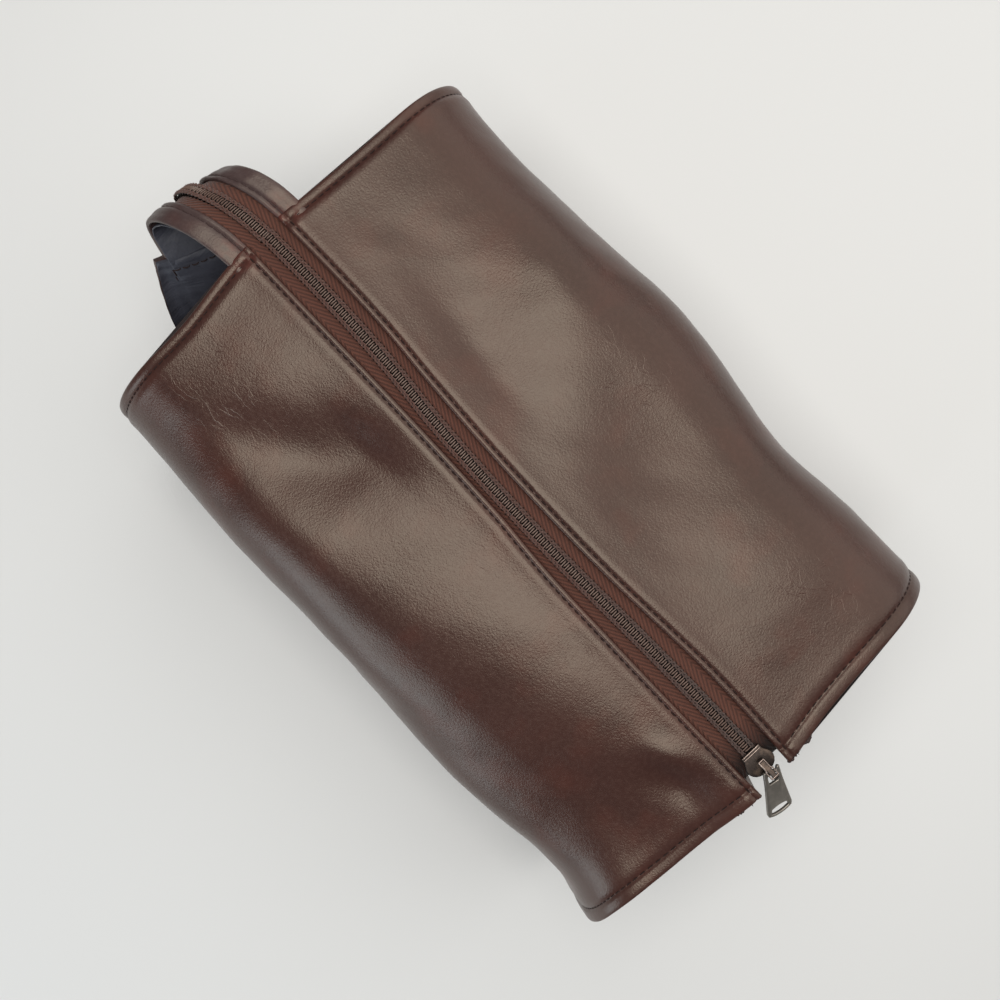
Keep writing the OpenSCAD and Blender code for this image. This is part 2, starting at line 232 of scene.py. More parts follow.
def end_shift(side, x, y, z):
    """How far along x a point near a cut end stands from its plain place. y is never below 0 here."""
    slider_end = smooth((x - 70) / 58) * through(END_SHIFT[side, 1], y)
    loop_end = smooth((-x - 70) / 58) * through(END_SHIFT[side, -1], y)
    return (slider_end - loop_end) * smooth(z / 60)


def end_plane(x, y, z):
    """The same across the whole width, smooth over the middle."""
    share = smooth((y + 14) / 28)
    return share * end_shift(BACK, x, np.abs(y), z) + (1 - share) * end_shift(FRONT, x, np.abs(y), z)


def skin(side, x, p, depth=0.0):
    """Points of the leather's outer face, or that depth inside it."""
    x, p, depth = np.broadcast_arrays(*(np.asarray(a, float) for a in (x, p, depth)))
    y, z, ny, nz = section(p)
    h = relief(side, x, p) - depth
    lean = through(LEAN[side], x) * smooth((p - 28) / 46) * smooth(z / 70)
    x = x + end_shift(side, x, y, z)
    return np.stack([x, side * (y + ny * h + lean), z + nz * h], -1)


def skin_normal(side, x, p):
    e = 0.05
    dx = skin(side, x + e, p) - skin(side, x - e, p)
    dp = skin(side, x, p + e) - skin(side, x, p - e)
    n = np.cross(dx, dp) * side
    return n / np.linalg.norm(n, axis=-1, keepdims=True)


# ---- mesh tools


def smooth_shading(me, sharp):
    me.polygons.foreach_set("use_smooth", [True] * len(me.polygons))
    me.update()
    me.set_sharp_from_angle(angle=math.radians(sharp))


def mesh_object(name, verts, faces, materials, uv, face_material, sharp=38, seam=None):
    """verts and uv in mm, one uv for each vertex. seam is (vertex numbers, normals) where pieces meet."""
    me = bpy.data.meshes.new(name)
    me.from_pydata((np.asarray(verts, float) * MM).tolist(), [], [list(map(int, f)) for f in faces])
    for m in materials:
        me.materials.append(m)
    layer = me.uv_layers.new(name="cloth")
    loops = np.empty(len(me.loops), int)
    me.loops.foreach_get("vertex_index", loops)
    layer.data.foreach_set("uv", (np.asarray(uv, float)[loops] / 100).ravel())
    me.polygons.foreach_set("material_index", np.asarray(face_material, int))
    smooth_shading(me, sharp)
    if seam is not None:
        wanted = {int(v): n for v, n in zip(*seam)}
        corner = np.empty(len(me.loops) * 3)
        me.corner_normals.foreach_get("vector", corner)
        corner = corner.reshape(-1, 3)
        for i, v in enumerate(loops):
            n = wanted.get(int(v))
            if n is not None and float(corner[i] @ n) > 0.8:
                corner[i] = n
        me.normals_split_custom_set(corner.tolist())
    return linked(name, me)


def grid_faces(rows, cols, close=False):
    """Faces of a grid of points. close joins the last column to the first."""
    faces = []
    for i in range(rows - 1):
        for j in range(cols if close else cols - 1):
            a, b = i * cols + j, i * cols + (j + 1) % cols
            faces.append((a, b, b + cols, a + cols))
    return faces


def loft(rings, ring_closed=False):
    """Rings of points joined one to the next, the last to the first if ring_closed: points and faces."""
    rings = np.asarray(rings, float)
    n, m = rings.shape[:2]
    faces = grid_faces(n, m, close=True)
    last = (n - 1) * m
    if ring_closed:
        faces += [(last + j, last + (j + 1) % m, (j + 1) % m, j) for j in range(m)]
    else:
        faces += [tuple(range(m - 1, -1, -1)), tuple(range(last, n * m))]
    return rings.reshape(-1, 3), faces


def outward(verts, faces):
    """Turns the faces over if the closed solid is inside out."""
    pts = np.asarray(verts, float)
    pts = pts - pts.mean(0)
    corners = np.array([(f[0], f[i], f[i + 1]) for f in faces for i in range(1, len(f) - 1)])
    a, b, c = pts[corners].swapaxes(0, 1)
    return faces if np.sum(a * np.cross(b, c)) > 0 else [tuple(reversed(f)) for f in faces]


def at(x, values):
    """Points with that x and those second values."""
    return np.stack([0 * values + x, values], -1)


def lofted(name, rings, uvs, materials, cut_ends=(), seam=None):
    """A piece through the rings. cut_ends are the numbers of the closing faces that show a cut edge."""
    verts, faces = loft(rings)
    mats = [0] * len(faces)
    for end in cut_ends:
        mats[end] = 1
    return mesh_object(name, verts, outward(verts, faces), materials, np.concatenate(uvs), mats, seam=seam)


def tube(path, radius, sides=6, closed=False):
    """A round rod along a path. radius is one number or one for each point."""
    path = np.asarray(path, float)
    radius = np.broadcast_to(radius, (len(path),))
    tangent = np.roll(path, -1, 0) - np.roll(path, 1, 0) if closed else np.gradient(path, axis=0)
    tangent /= np.linalg.norm(tangent, axis=1, keepdims=True)
    up = np.array([0.0, 0.0, 1.0]) if abs(tangent[0][2]) < 0.9 else np.array([0.0, 1.0, 0.0])
    out = np.cross(tangent[0], up)
    a = np.arange(sides)[:, None] * 2 * math.pi / sides
    rings = []
    for point, r, way in zip(path, radius, tangent):
        out = out - way * (out @ way)
        out /= np.linalg.norm(out)
        rings.append(point + r * (np.cos(a) * out + np.sin(a) * np.cross(way, out)))
    return loft(rings, closed)


class Pile:
    """Gathers small solids into one mesh."""

    def __init__(self):
        self.verts, self.faces, self.mats, self.uv, self.count = [], [], [], [], 0

    def add(self, verts, faces, material=0, uv=None):
        verts = np.asarray(verts, float)
        self.faces += [tuple(i + self.count for i in f) for f in outward(verts, faces)]
        self.mats += material if isinstance(material, list) else [material] * len(faces)
        self.verts.append(verts)
        self.uv.append(verts[:, :2] if uv is None else np.asarray(uv, float))
        self.count += len(verts)

    def object(self, name, materials):
        return mesh_object(name, np.concatenate(self.verts), self.faces, materials, np.concatenate(self.uv),
                           self.mats, sharp=50)


def dress(obj, slot, *nodes):
    """Hides the CAD nodes that a piece stands for; slot is not used."""
    if nodes:
        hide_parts(*nodes)


def on_shell(obj, slot, *nodes):
    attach(obj, "shell")
    dress(obj, slot, *nodes)


def flap_half(obj, side, slot, node):
    """A piece of a flap for x below or above 0, its placement baked into its mesh and its CAD node hidden."""
    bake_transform(obj)
    dress(obj, slot, f"{SIDE_NAME[side]}_{node}")


def half_name(side, piece, half):
    return f"{SIDE_NAME[side]}_{piece}_{'a' if half < 0 else 'b'}"


# ---- materials


class Nodes:
    """Short calls for building a material's node tree."""

    def __init__(self, name):
        self.mat = bpy.data.materials.new(name)
        self.mat.use_nodes = True
        self.tree = self.mat.node_tree
        self.shader = self.tree.nodes["Principled BSDF"]

    def add(self, kind, inputs=(), **props):
        node = self.tree.nodes.new("ShaderNode" + kind)
        for k, v in props.items():
            setattr(node, k, v)
        for k, v in dict(inputs).items():
            if isinstance(v, bpy.types.NodeSocket):
                self.tree.links.new(v, node.inputs[k])
            else:
                node.inputs[k].default_value = v
        return node

    def math(self, op, a, b=0.0, c=0.0):
        return self.add("Math", {0: a, 1: b, 2: c}, operation=op).outputs[0]

    def times(self, a, b):
        return self.math("MULTIPLY", a, b)

    def spot(self, vector, centre, near, far):
        """1 within near of the centre, falling to 0 at far."""
        away = self.add("VectorMath", {0: vector, 1: centre}, operation="DISTANCE").outputs["Value"]
        return self.ramp(away, near, far, 1, 0)

    def place(self):
        return self.add("TexCoord").outputs["Object"]

    def uv(self):
        return self.add("UVMap", uv_map="cloth").outputs[0]

    def scaled(self, vector, scale):
        return self.add("Mapping", {"Vector": vector, "Scale": scale}).outputs[0]

    def noise(self, vector, scale, detail=3.0, rough=0.5, distortion=0.0):
        return self.add("TexNoise", {"Vector": vector, "Scale": scale, "Detail": detail, "Roughness": rough,
                                     "Distortion": distortion}).outputs[0]

    def voronoi(self, vector, scale, feature="F1"):
        return self.add("TexVoronoi", {"Vector": vector, "Scale": scale}, feature=feature).outputs[0]

    def ramp(self, value, low, high, out_low=0.0, out_high=1.0):
        values = {0: value, 1: low, 2: high, 3: out_low, 4: out_high}
        return self.add("MapRange", values, clamp=True).outputs[0]

    def mix(self, factor, a, b):
        a, b = ((*v, 1) if isinstance(v, tuple) else v for v in (a, b))
        return self.add("Mix", {0: factor, 6: a, 7: b}, data_type="RGBA").outputs[2]

    def bump(self, height, distance, strength, normal=None):
        values = {"Height": height, "Distance": distance, "Strength": strength}
        return self.add("Bump", {**values, "Normal": normal} if normal else values).outputs[0]

    def set(self, **values):
        for k, v in values.items():
            socket = self.shader.inputs[k.replace("_", " ")]
            if isinstance(v, bpy.types.NodeSocket):
                self.tree.links.new(v, socket)
            else:
                socket.default_value = (*v, 1) if isinstance(v, tuple) and len(v) == 3 else v


def leather_material(name, base, dark, light, rough=0.31, creases=1.0):
    n = Nodes(name)
    uv = n.uv()
    blotch = n.noise(uv, 2.2, 4, 0.55)
    fine = n.noise(uv, 60, 3, 0.6)
    pebble = n.voronoi(uv, 150)
    cells = n.voronoi(uv, 85, "DISTANCE_TO_EDGE")
    # Long fine creases that run mostly one way, only here and there
    shift = n.add("VectorMath", {0: n.add("TexNoise", {"Vector": uv, "Scale": 5.0, "Detail": 3.0}).outputs[1],
                                 1: (0.16, 0.16, 0.16)}, operation="MULTIPLY").outputs[0]
    warped = n.add("VectorMath", {0: uv, 1: shift}, operation="ADD").outputs[0]
    crease, second = (n.ramp(n.voronoi(n.scaled(warped, size), 1.0, "DISTANCE_TO_EDGE"), 0.0, 0.03, 1, 0)
                      for size in ((7, 26, 9), (30, 13, 9)))
    where = n.times(n.ramp(n.noise(uv, 2.6, 3), 0.54, 0.72), 0.6)
    for u, v, size in ((-0.98, -0.50, 0.34), (-0.02, 0.62, 0.36), (0.86, -0.82, 0.3), (0.95, 0.62, 0.3)):
        where = n.math("MAXIMUM", where, n.spot(uv, (u, v, 0), size * 0.3, size))
    where = n.times(where, n.ramp(n.noise(uv, 11, 2), 0.4, 0.62))
    crease = n.times(n.math("MAXIMUM", crease, n.times(second, 0.5)), where)
    colour = n.mix(n.ramp(blotch, 0.32, 0.7), dark, base)
    colour = n.mix(n.times(n.ramp(fine, 0.45, 0.8), 0.3), colour, light)
    colour = n.mix(n.times(crease, 0.35 * creases), colour, light)
    rusty = n.times(n.ramp(n.noise(uv, 3.4, 3, 0.6), 0.52, 0.68), 0.32)
    colour = n.mix(rusty, colour, (0.082, 0.021, 0.014))
    # Rubbed red where the tail leaves the bag, on both sides
    place = n.place()
    for y, size in ((0.0095, 0.010), (-0.0085, 0.012)):
        worn = n.spot(place, (-0.1295, y, 0.115), 0.002, size)
        worn = n.times(worn, n.ramp(n.noise(uv, 24, 4, 0.7), 0.4, 0.62))
        colour = n.mix(n.times(worn, 0.5), colour, (0.135, 0.034, 0.026))
    roughness = n.ramp(n.math("ADD", fine, n.times(blotch, 0.6)), 0.5, 1.2, rough - 0.05, rough + 0.08)
    grain = n.bump(n.ramp(cells, 0.0, 0.25), 0.00005, 0.5)
    grain = n.bump(pebble, 0.00004, 0.4, grain)
    grain = n.bump(n.noise(n.scaled(uv, (0.8, 1.25, 1)), 34, 4, 0.6), 0.00016, 0.38, grain)
    grain = n.bump(n.noise(uv, 9, 3, 0.5), 0.0006, 0.16, grain)
    grain = n.bump(crease, 0.00014, 0.48 * creases, grain)
    n.set(Base_Color=colour, Roughness=roughness, Normal=grain, Specular_IOR_Level=0.55,
          Specular_Tint=(1.0, 0.90, 0.74))
    return n.mat


def cut_edge_material():
    n = Nodes("leather_cut_edge")
    uv = n.uv()
    fuzz = n.noise(uv, 120, 4, 0.7)
    n.set(Base_Color=n.mix(fuzz, (0.012, 0.007, 0.006), (0.045, 0.022, 0.018)), Roughness=0.75,
          Normal=n.bump(fuzz, 0.0003, 0.8))
    return n.mat


def tape_material():
    n = Nodes("zip_tape")
    uv = n.uv()
    parts = n.add("SeparateXYZ", {0: uv}).outputs
    along, across = n.times(parts[0], 100.0), n.times(parts[1], 100.0)
    # Herringbone: ribs that lean one way on the inner half of the tape and the other way beyond
    bend = n.math("PINGPONG", n.math("ADD", n.math("ABSOLUTE", across), 0.4), 7.0)
    rib = n.math("FRACT", n.math("DIVIDE", n.math("ADD", along, n.times(bend, 1.8)), 2.5))
    rib = n.ramp(n.math("PINGPONG", rib, 0.5), 0.06, 0.34)
    weave = n.times(n.math("SINE", n.times(along, 13.0)),
                   n.math("SINE", n.times(across, 15.0)))
    weave = n.math("MULTIPLY_ADD", weave, 0.5, 0.5)
    fuzz = n.noise(uv, 90, 4, 0.7)
    colour = n.mix(rib, (0.044, 0.017, 0.012), (0.106, 0.039, 0.026))
    colour = n.mix(n.times(weave, 0.4), colour, (0.15, 0.066, 0.045))
    colour = n.mix(n.ramp(fuzz, 0.5, 0.8, 0, 0.6), colour, (0.05, 0.022, 0.017))
    # Painted shade under the teeth, and grime beside the slider, both in one dark colour
    under = n.ramp(n.math("ABSOLUTE", across), 1.4, 2.4, 1, 0)
    grime = n.times(n.ramp(along, 106.0, 119.0), n.ramp(n.noise(uv, 14, 3, 0.6), 0.2, 0.6, 0.6, 1.0))
    colour = n.mix(n.math("MAXIMUM", under, grime), colour, (0.010, 0.006, 0.005))
    bump = n.bump(rib, 0.00026, 0.7)
    bump = n.bump(weave, 0.00010, 0.7, bump)
    bump = n.bump(fuzz, 0.0002, 0.4, bump)
    n.set(Base_Color=colour, Roughness=0.85, Normal=bump, Sheen_Weight=0.15, Sheen_Roughness=0.5,
          Specular_IOR_Level=0.25)
    return n.mat


def coil_material():
    n = Nodes("zip_coil")
    uv = n.uv()
    streak = n.noise(uv, 40, 3, 0.6)
    height = n.add("SeparateXYZ", {0: uv}).outputs[1]
    colour = n.mix(streak, (0.072, 0.044, 0.035), (0.175, 0.112, 0.090))
    # Painted shade: each turn darker low down, where the upper legs shade it
    colour = n.mix(n.ramp(height, 0.0145, 0.0175, 1, 0), colour, (0.006, 0.004, 0.0035))
    n.set(Base_Color=colour, Roughness=n.ramp(streak, 0.3, 0.7, 0.32, 0.44), Specular_IOR_Level=0.45,
          Specular_Tint=(1.0, 0.9, 0.8))
    return n.mat


def coil_painted_shade_material():
    # Painted shade: a near-black matte material for the coil's lower legs, which lie in shade
    n = Nodes("zip_coil_painted_shade")
    streak = n.noise(n.uv(), 40, 3, 0.6)
    n.set(Base_Color=n.mix(streak, (0.0035, 0.0025, 0.002), (0.009, 0.006, 0.005)), Roughness=0.85,
          Specular_IOR_Level=0.1)
    return n.mat


def thread_material(name, pale, dark, grey=None, sheen=0.2):
    n = Nodes(name)
    uv = n.uv()
    parts = n.add("SeparateXYZ", {0: uv}).outputs
    twist = n.math("SINE", n.times(n.math("ADD", parts[0], n.times(parts[1], 1.4)), 1500.0))
    twist = n.math("MULTIPLY_ADD", twist, 0.5, 0.5)
    fuzz = n.noise(uv, 60, 3, 0.7)
    colour = n.mix(n.times(twist, fuzz), dark, pale)
    if grey:
        worn = n.ramp(n.math("ADD", parts[0], n.times(parts[1], 12.0)), -0.55, 1.5)
        colour = n.mix(worn, colour, grey)
    n.set(Base_Color=colour, Roughness=0.8, Normal=n.bump(twist, 0.0001, 0.5), Sheen_Weight=sheen,
          Specular_IOR_Level=0.25)
    return n.mat


def lining_material():
    n = Nodes("lining_cloth")
    uv = n.uv()
    weave = n.voronoi(uv, 95)
    cloud = n.noise(uv, 6, 4, 0.6)
    wrinkle = n.noise(n.scaled(uv, (7, 2.2, 1)), 1.6, 4, 0.6, 0.8)
    n.set(Base_Color=n.mix(cloud, (0.020, 0.021, 0.029), (0.046, 0.047, 0.061)),
          Roughness=n.ramp(cloud, 0.3, 0.7, 0.46, 0.6),
          Normal=n.bump(weave, 0.00006, 0.4, n.bump(wrinkle, 0.0016, 0.55)), Specular_IOR_Level=0.5)
    return n.mat


def metal_material(name, base, worn, rough):
    n = Nodes(name)
    where = n.place()
    brush = n.noise(n.scaled(where, (1, 7, 1)), 900, 3, 0.6)
    patch = n.noise(where, 300, 3, 0.55)
    n.set(Base_Color=n.mix(n.ramp(patch, 0.5, 0.8), base, worn), Metallic=0.9,
          Roughness=n.ramp(brush, 0.3, 0.7, rough - 0.08, rough + 0.1), Normal=n.bump(brush, 0.00003, 0.35))
    return n.mat


def board_material():
    n = Nodes("board")
    speckle = n.noise(n.place(), 300, 4, 0.7)
    n.set(Base_Color=n.mix(speckle, (0.22, 0.20, 0.17), (0.34, 0.31, 0.27)), Roughness=0.9)
    return n.mat


LEATHER_MAT = leather_material("leather", (0.049, 0.0185, 0.0145), (0.034, 0.0125, 0.010),
                               (0.080, 0.038, 0.030))
LOOP_LEATHER = leather_material("leather_loop", (0.062, 0.038, 0.037), (0.040, 0.024, 0.024),
                                (0.11, 0.078, 0.074), 0.40, 1.4)
CUT_EDGE = cut_edge_material()
TAPE_MAT = tape_material()
COIL_MAT = coil_material()
COIL_PAINTED_SHADE = coil_painted_shade_material()
BAND_MAT = thread_material("coil_thread", (0.185, 0.088, 0.064), (0.060, 0.025, 0.018), (0.055, 0.038, 0.032))
TAIL_THREAD = thread_material("tail_thread", (0.105, 0.066, 0.062), (0.04, 0.024, 0.022), sheen=0.0)
THREAD_MAT = thread_material("seam_thread", (0.045, 0.022, 0.018), (0.010, 0.005, 0.004), sheen=0.0)
LINING_MAT = lining_material()
SLIDER_MAT = metal_material("slider_metal", (0.035, 0.027, 0.023), (0.12, 0.085, 0.064), 0.4)
PULL_MAT = metal_material("pull_metal", (0.25, 0.225, 0.195), (0.34, 0.305, 0.265), 0.42)
BRASS_MAT = metal_material("slider_worn_edge", (0.22, 0.17, 0.145), (0.48, 0.39, 0.33), 0.3)
BOARD_MAT = board_material()

# ---- leather of the flaps, walls and base


def stations(a, b):
    """x of each ring from a to b, half a stitch apart, with finer ones at a cut end."""
    step = STITCH / 2
    inner = np.arange(math.ceil((a + 0.01) / step), math.floor((b - 0.01) / step) + 1) * step
    xs = set(np.round(inner[np.abs(inner) < HALF - 9.2], 3)) | {a, b}
    fine = (0.25, 0.7, 1.3, 2.0, 2.7, 3.2, 3.6, 4.0, 4.4, 4.8, 5.2, 5.7, 6.3, 7.1, 8.1)
    for end in (-HALF, HALF):
        if a <= end <= b:
            xs |= {end - math.copysign(d, end) for d in fine}
    return np.array(sorted(xs))


def end_inset(x):
    """How far the outline draws in at a cut end, so that its edges are a little rounded."""
    return 0.22 if HALF - abs(x) < 0.01 else 0.0


TOP_POINTS = 71  # points of a flap's ring that lie on its outer face


def flap_ring(side, x):
    """(arc length, depth) round a flap's cross section at x, from the hinge over the top and back."""
    start, inset = float(edge_start(side, x)), end_inset(x)
    near = start + np.array([9.0, 7.4, 6.0, 5.0, 4.3, 3.7, 3.2, 2.85, 2.55, 2.3, 2.05, 1.75, FOLD + 0.3])
    top = np.concatenate([np.linspace(P2, start + 10.6, TOP_POINTS - len(near)), near])
    a = np.radians(np.linspace(90, -90, 9))
    under = np.linspace(start + FOLD + 0.8, start + 10, 5)
    back = np.linspace(start + 10.05, P2, 26)
    p = np.concatenate([top, start + FOLD - FOLD * np.cos(a), under, back])
    d = np.concatenate([0 * top + inset, FOLD - FOLD * np.sin(a), 0 * under + 2 * FOLD,
                        0 * back + LEATHER - inset])
    return p, d


def flap_leather(side):
    for half in (-1, 1):
        xs = stations(-HALF, 0) if half < 0 else stations(0, HALF)
        # Normals of the true surface where this piece meets the wall and its own other half
        rings, uvs, seam_points, seam_normals = [], [], [], []
        for i, x in enumerate(xs):
            p, d = flap_ring(side, x)
            rings.append(skin(side, x, p, d))
            uvs.append(at(x, side * (p + np.where(d > LEATHER * 0.9, 300, 0))))
            p = p[: TOP_POINTS if abs(x) < 0.01 else 1]
            seam_points += list(i * len(d) + np.arange(len(p)))
            seam_normals += list(skin_normal(side, 0 * p + x, p))
        obj = lofted(half_name(side, "flap_skin", half), rings, uvs, [LEATHER_MAT, CUT_EDGE],
                     [-2 if half < 0 else -1], (seam_points, seam_normals))
        flap_half(obj, side, "leather_brown", "flap_leather")


def wall_arc(wall, corner, base, start=P2):
    """Arc lengths down the wall, round the corner and in under the base, with that many points on each."""
    return np.concatenate([np.linspace(start, P3, wall), np.linspace(P3, P4, corner)[1:],
                           np.linspace(P4, P5, base)[1:]])


def wall_sheet(xs, outer, inner, depth, step):
    """Rings and uv of a sheet down the back wall, under the base and up the front, then back on its inner face.

    depth(side, x, p, inside) is how deep it lies, and step[side] what the uv adds on the inner face."""
    rings, uvs = [], []
    for x in xs:
        ring, uv = [], []
        for side, p, inside in ((BACK, outer, 0), (FRONT, outer[-2::-1], 0), (FRONT, inner, 1),
                                (BACK, inner[-2::-1], 1)):
            ring.append(skin(side, x, p, depth(side, x, p, inside)))
            uv.append(at(x, side * p + inside * step[side]))
        rings.append(np.concatenate(ring))
        uvs.append(np.concatenate(uv))
    return rings, uvs


def wrap_leather():
    """The side walls and the base in one piece."""
    xs = stations(-HALF, HALF)
    outer, inner = wall_arc(42, 12, 16), wall_arc(16, 8, 6)

    def depth(side, x, p, inside):
        return LEATHER - end_inset(x) if inside else end_inset(x)

    rings, uvs = wall_sheet(xs, outer, inner, depth, {BACK: 300, FRONT: -300})
    seam_points, seam_normals = [], []
    for i, x in enumerate(xs):
        for j, side in ((0, BACK), (2 * len(outer) - 2, FRONT)):
            seam_points.append(i * len(rings[0]) + j)
            seam_normals.append(skin_normal(side, np.array(x), np.array(P2)))
    obj = lofted("wall_and_base_skin", rings, uvs, [LEATHER_MAT, CUT_EDGE], [-1, -2],
                 (seam_points, seam_normals))
    on_shell(obj, "leather_brown", "body_wrap")


PANEL_MIDDLE = 56.0  # height of the point that the end panels' rings close on
PANEL_GAP = 0.12  # clear room between the wrap and the panel's rim
# Rim of an end panel, from its inner edge out to the seam and back: distance from the end, depth
PANEL_RIM = [(SEAM + LEATHER, 1.4), (3.0, 1.4), (0.9, 1.4), (0.35, 1.55), (0.35, 2.6), (0.9, 2.8), (3.2, 2.8),
             (SEAM - 0.5, 2.9), (SEAM, 3.6)]
# How the panel swells: share of the way to its middle, height
PANEL_SWELL = [(0.04, 0.3), (0.1, 0.9), (0.2, 1.6), (0.35, 2.2), (0.55, 2.6), (0.8, 2.7), (0.985, 2.7)]


def end_panel(end):
    """A panel set in from the end, its rim turned outward inside the wrap."""
    name, notch, dip, puff = ("slider", 9.0, 12.0, -0.5) if end > 0 else ("loop", 10.0, 5.5, 0.5)
    ps = np.concatenate([np.arange(notch, P3, 2.4), np.linspace(P3, P4, 10)[:-1], np.linspace(P4, P5, 14)])
    cut_y = np.linspace(-notch * 0.96, notch * 0.96, 9)[1:-1]
    cut_z = HEIGHT - 3.2 - dip * (1 - (cut_y / notch) ** 4) - 0.8

    def ring(from_end, depth, shrink=0.0, swell=0.0):
        """From the back notch edge round under the base to the front one, then across the notch."""
        depth += PANEL_GAP
        x = end * (HALF - from_end)
        x_cut = end * (HALF - max(from_end if shrink else min(from_end, SEAM + 1.4), SEAM))
        cut_x = x_cut + end_plane(x_cut + 0 * cut_y, cut_y, cut_z)
        pts = np.concatenate([skin(BACK, x, ps, depth), skin(FRONT, x, ps[-2::-1], depth),
                              np.stack([cut_x, cut_y, cut_z - (depth - 1.4) * 0.2], -1)])
        if shrink:
            # Draw the ring in about the middle of the panel, and set it on the panel's own surface
            pts[:, 1] *= 1 - shrink
            pts[:, 2] = PANEL_MIDDLE + (pts[:, 2] - PANEL_MIDDLE) * (1 - shrink)
            pts[:, 0] = x + end_plane(x + 0 * pts[:, 1], pts[:, 1], pts[:, 2]) + end * swell * puff
            waves = ripple(pts[:, 1], pts[:, 2], 31 + end, 48)
            pts[:, 0] += end * 0.5 * waves * math.sin(math.pi * min(shrink * 1.3, 1))
        return pts

    rings = [ring(*place) for place in PANEL_RIM]
    rings += [ring(SEAM, 3.6, *swell) for swell in PANEL_SWELL]
    rings += [ring(SEAM + LEATHER, 3.6, *swell) for swell in reversed(PANEL_SWELL)]
    n, m = len(rings), len(rings[0])
    verts, faces = loft(rings, ring_closed=True)
    mats = [int(i // m == 3) for i in range(n * m)]
    # The innermost rings are closed across the middle
    front_mid = len(PANEL_RIM) - 1 + len(PANEL_SWELL)
    del faces[front_mid * m:(front_mid + 1) * m], mats[front_mid * m:(front_mid + 1) * m]
    faces.append(tuple(front_mid * m + j for j in range(m)))
    faces.append(tuple((front_mid + 1) * m + j for j in reversed(range(m))))
    uv = np.stack([verts[:, 1] + 400 * end, verts[:, 2]], -1)
    rim_rows = (len(PANEL_RIM) - 1) * m
    around = np.concatenate([ps, -ps[-2::-1], cut_y * 0])
    uv[:rim_rows] = np.stack([verts[:rim_rows, 0], np.tile(around, len(PANEL_RIM) - 1) + 700], -1)
    obj = mesh_object(f"{name}_end_panel_skin", verts, outward(verts, faces), [LEATHER_MAT, CUT_EDGE], uv,
                      mats + [0, 0])
    on_shell(obj, "leather_brown", f"{name}_end_panel")


# ---- stitches


def stitch(pile, where, radius=0.24, rise=0.2):
    """where(t) gives points and normals at shares of the stitch, from -0.5 to 0.5 of the pitch."""
    t = np.array([-0.5, -0.42, -0.25, 0.0, 0.25, 0.42, 0.5]) * 0.72
    pos, nrm = where(t)
    lift = np.array([-0.35, -0.05, rise * 0.8, rise, rise * 0.8, -0.05, -0.35])
    verts, faces = tube(pos + nrm * lift[:, None], np.array([0.7, 0.95, 1, 1, 1, 0.95, 0.7]) * radius)
    share = np.repeat(t, 6) * STITCH
    pile.add(verts, faces, uv=np.stack([share + rng.uniform(0, 50), verts[:, 2] * 0.3], -1))


def zip_rows(side):
    for half in (-1, 1):
        pile = Pile()
        for i in range(39):
            lean = rng.uniform(-0.12, 0.12)

            def where(t):
                x = half * (i + 0.5) * STITCH + t * STITCH
                p = edge_start(side, x) + 2.3 + lean * t
                return skin(side, x, p), skin_normal(side, x, p)

            stitch(pile, where)
        flap_half(pile.object(half_name(side, "zip_thread", half), [THREAD_MAT]), side, "thread_brown",
                  "zip_stitching")


def end_rows(side, wall):
    """The rows beside the two end seams. Stitches below the hinge go on the wall's pile."""
    for half in (-1, 1):
        pile = Pile()
        first = math.ceil((float(edge_start(side, half * HALF)) + 3) / STITCH)
        for k in range(first, int((P3 + 6) / STITCH)):
            middle = (k + 0.5) * STITCH

            def where(t):
                p = middle + t * STITCH
                x = half * (HALF - float(seam_row(side, half * HALF))) + 0 * t
                return skin(side, x, p), skin_normal(side, x, p)

            stitch(pile if middle < P2 - 1 else wall, where)
        flap_half(pile.object(half_name(side, "end_thread", half), [THREAD_MAT]), side, "thread_brown",
                  "flap_end_stitching")


# ---- zip

TAPE_TOP = HEIGHT - 2.8 / math.cos(CROWN)
COIL_FIRST, COIL_LAST = -127.6, 116.6
PITCH = 1.75
TURN_SHIFT = {FRONT: 0.0, BACK: 0.5}  # where each row's turns start, in pitches


def coil_y(x):
    return through(COIL_LINE, x)


def zip_tape(side):
    for half in (-1, 1):
        rings, uvs = [], []
        for x in np.linspace(-HALF - 0.3, 0.0, 72) if half < 0 else np.linspace(0.0, 122.8, 72):
            # Past the coil's last turn the inner edge turns aside
            away = smooth((x - 116.5) / 8.5)
            inner = side * coil_y(x) + 0.12 + 6.5 * away**1.2
            outer = float(through(EDGE[side], x)) + 8.0
            s = np.array([0, 0.03, 0.2, 0.4, 0.6, 0.8, 0.97, 1.0])
            y = inner + (outer - inner) * s
            z = TAPE_TOP - y * math.tan(CROWN) - 0.35 * np.sin(math.pi * np.clip(s * 1.9, 0, 1))
            z -= 2.6 * away * (1 - s) ** 2
            top = np.stack([0 * y + x, side * y, z - np.array([0.12, 0, 0, 0, 0, 0, 0, 0.12])], -1)
            low = np.stack([0 * y + x, side * y, z - 0.55], -1)[::-1]
            rings.append(np.concatenate([top, low]))
            uvs.append(at(x, np.concatenate([y - inner, (y - inner)[::-1]]) * side))
        obj = lofted(half_name(side, "tape", half), rings, uvs, [TAPE_MAT])
        flap_half(obj, side, "tape_brown", "zip_tape")


# One turn of the coil: out from the middle of the zip, up from the tape, radius of the wire
TURN_OUT, TURN_UP, TURN_RADIUS = np.array([
    (2.85, 0.35, 0.26), (2.95, 1.0, 0.26), (2.6, 1.55, 0.24), (1.7, 1.78, 0.22), (0.5, 1.84, 0.22),
    (-0.45, 1.84, 0.29), (-0.98, 1.5, 0.33), (-1.05, 0.95, 0.30), (-0.6, 0.5, 0.26), (0.8, 0.36, 0.26),
    (2.2, 0.32, 0.26),
]).T
# The third slot is painted shade for the coil's lower legs
COIL_SLOTS = [COIL_MAT, BAND_MAT, COIL_PAINTED_SHADE]
BANDS = ((1.75, 0.0), (2.45, 0.5))  # rows of thread that sew the coil down: distance out, phase


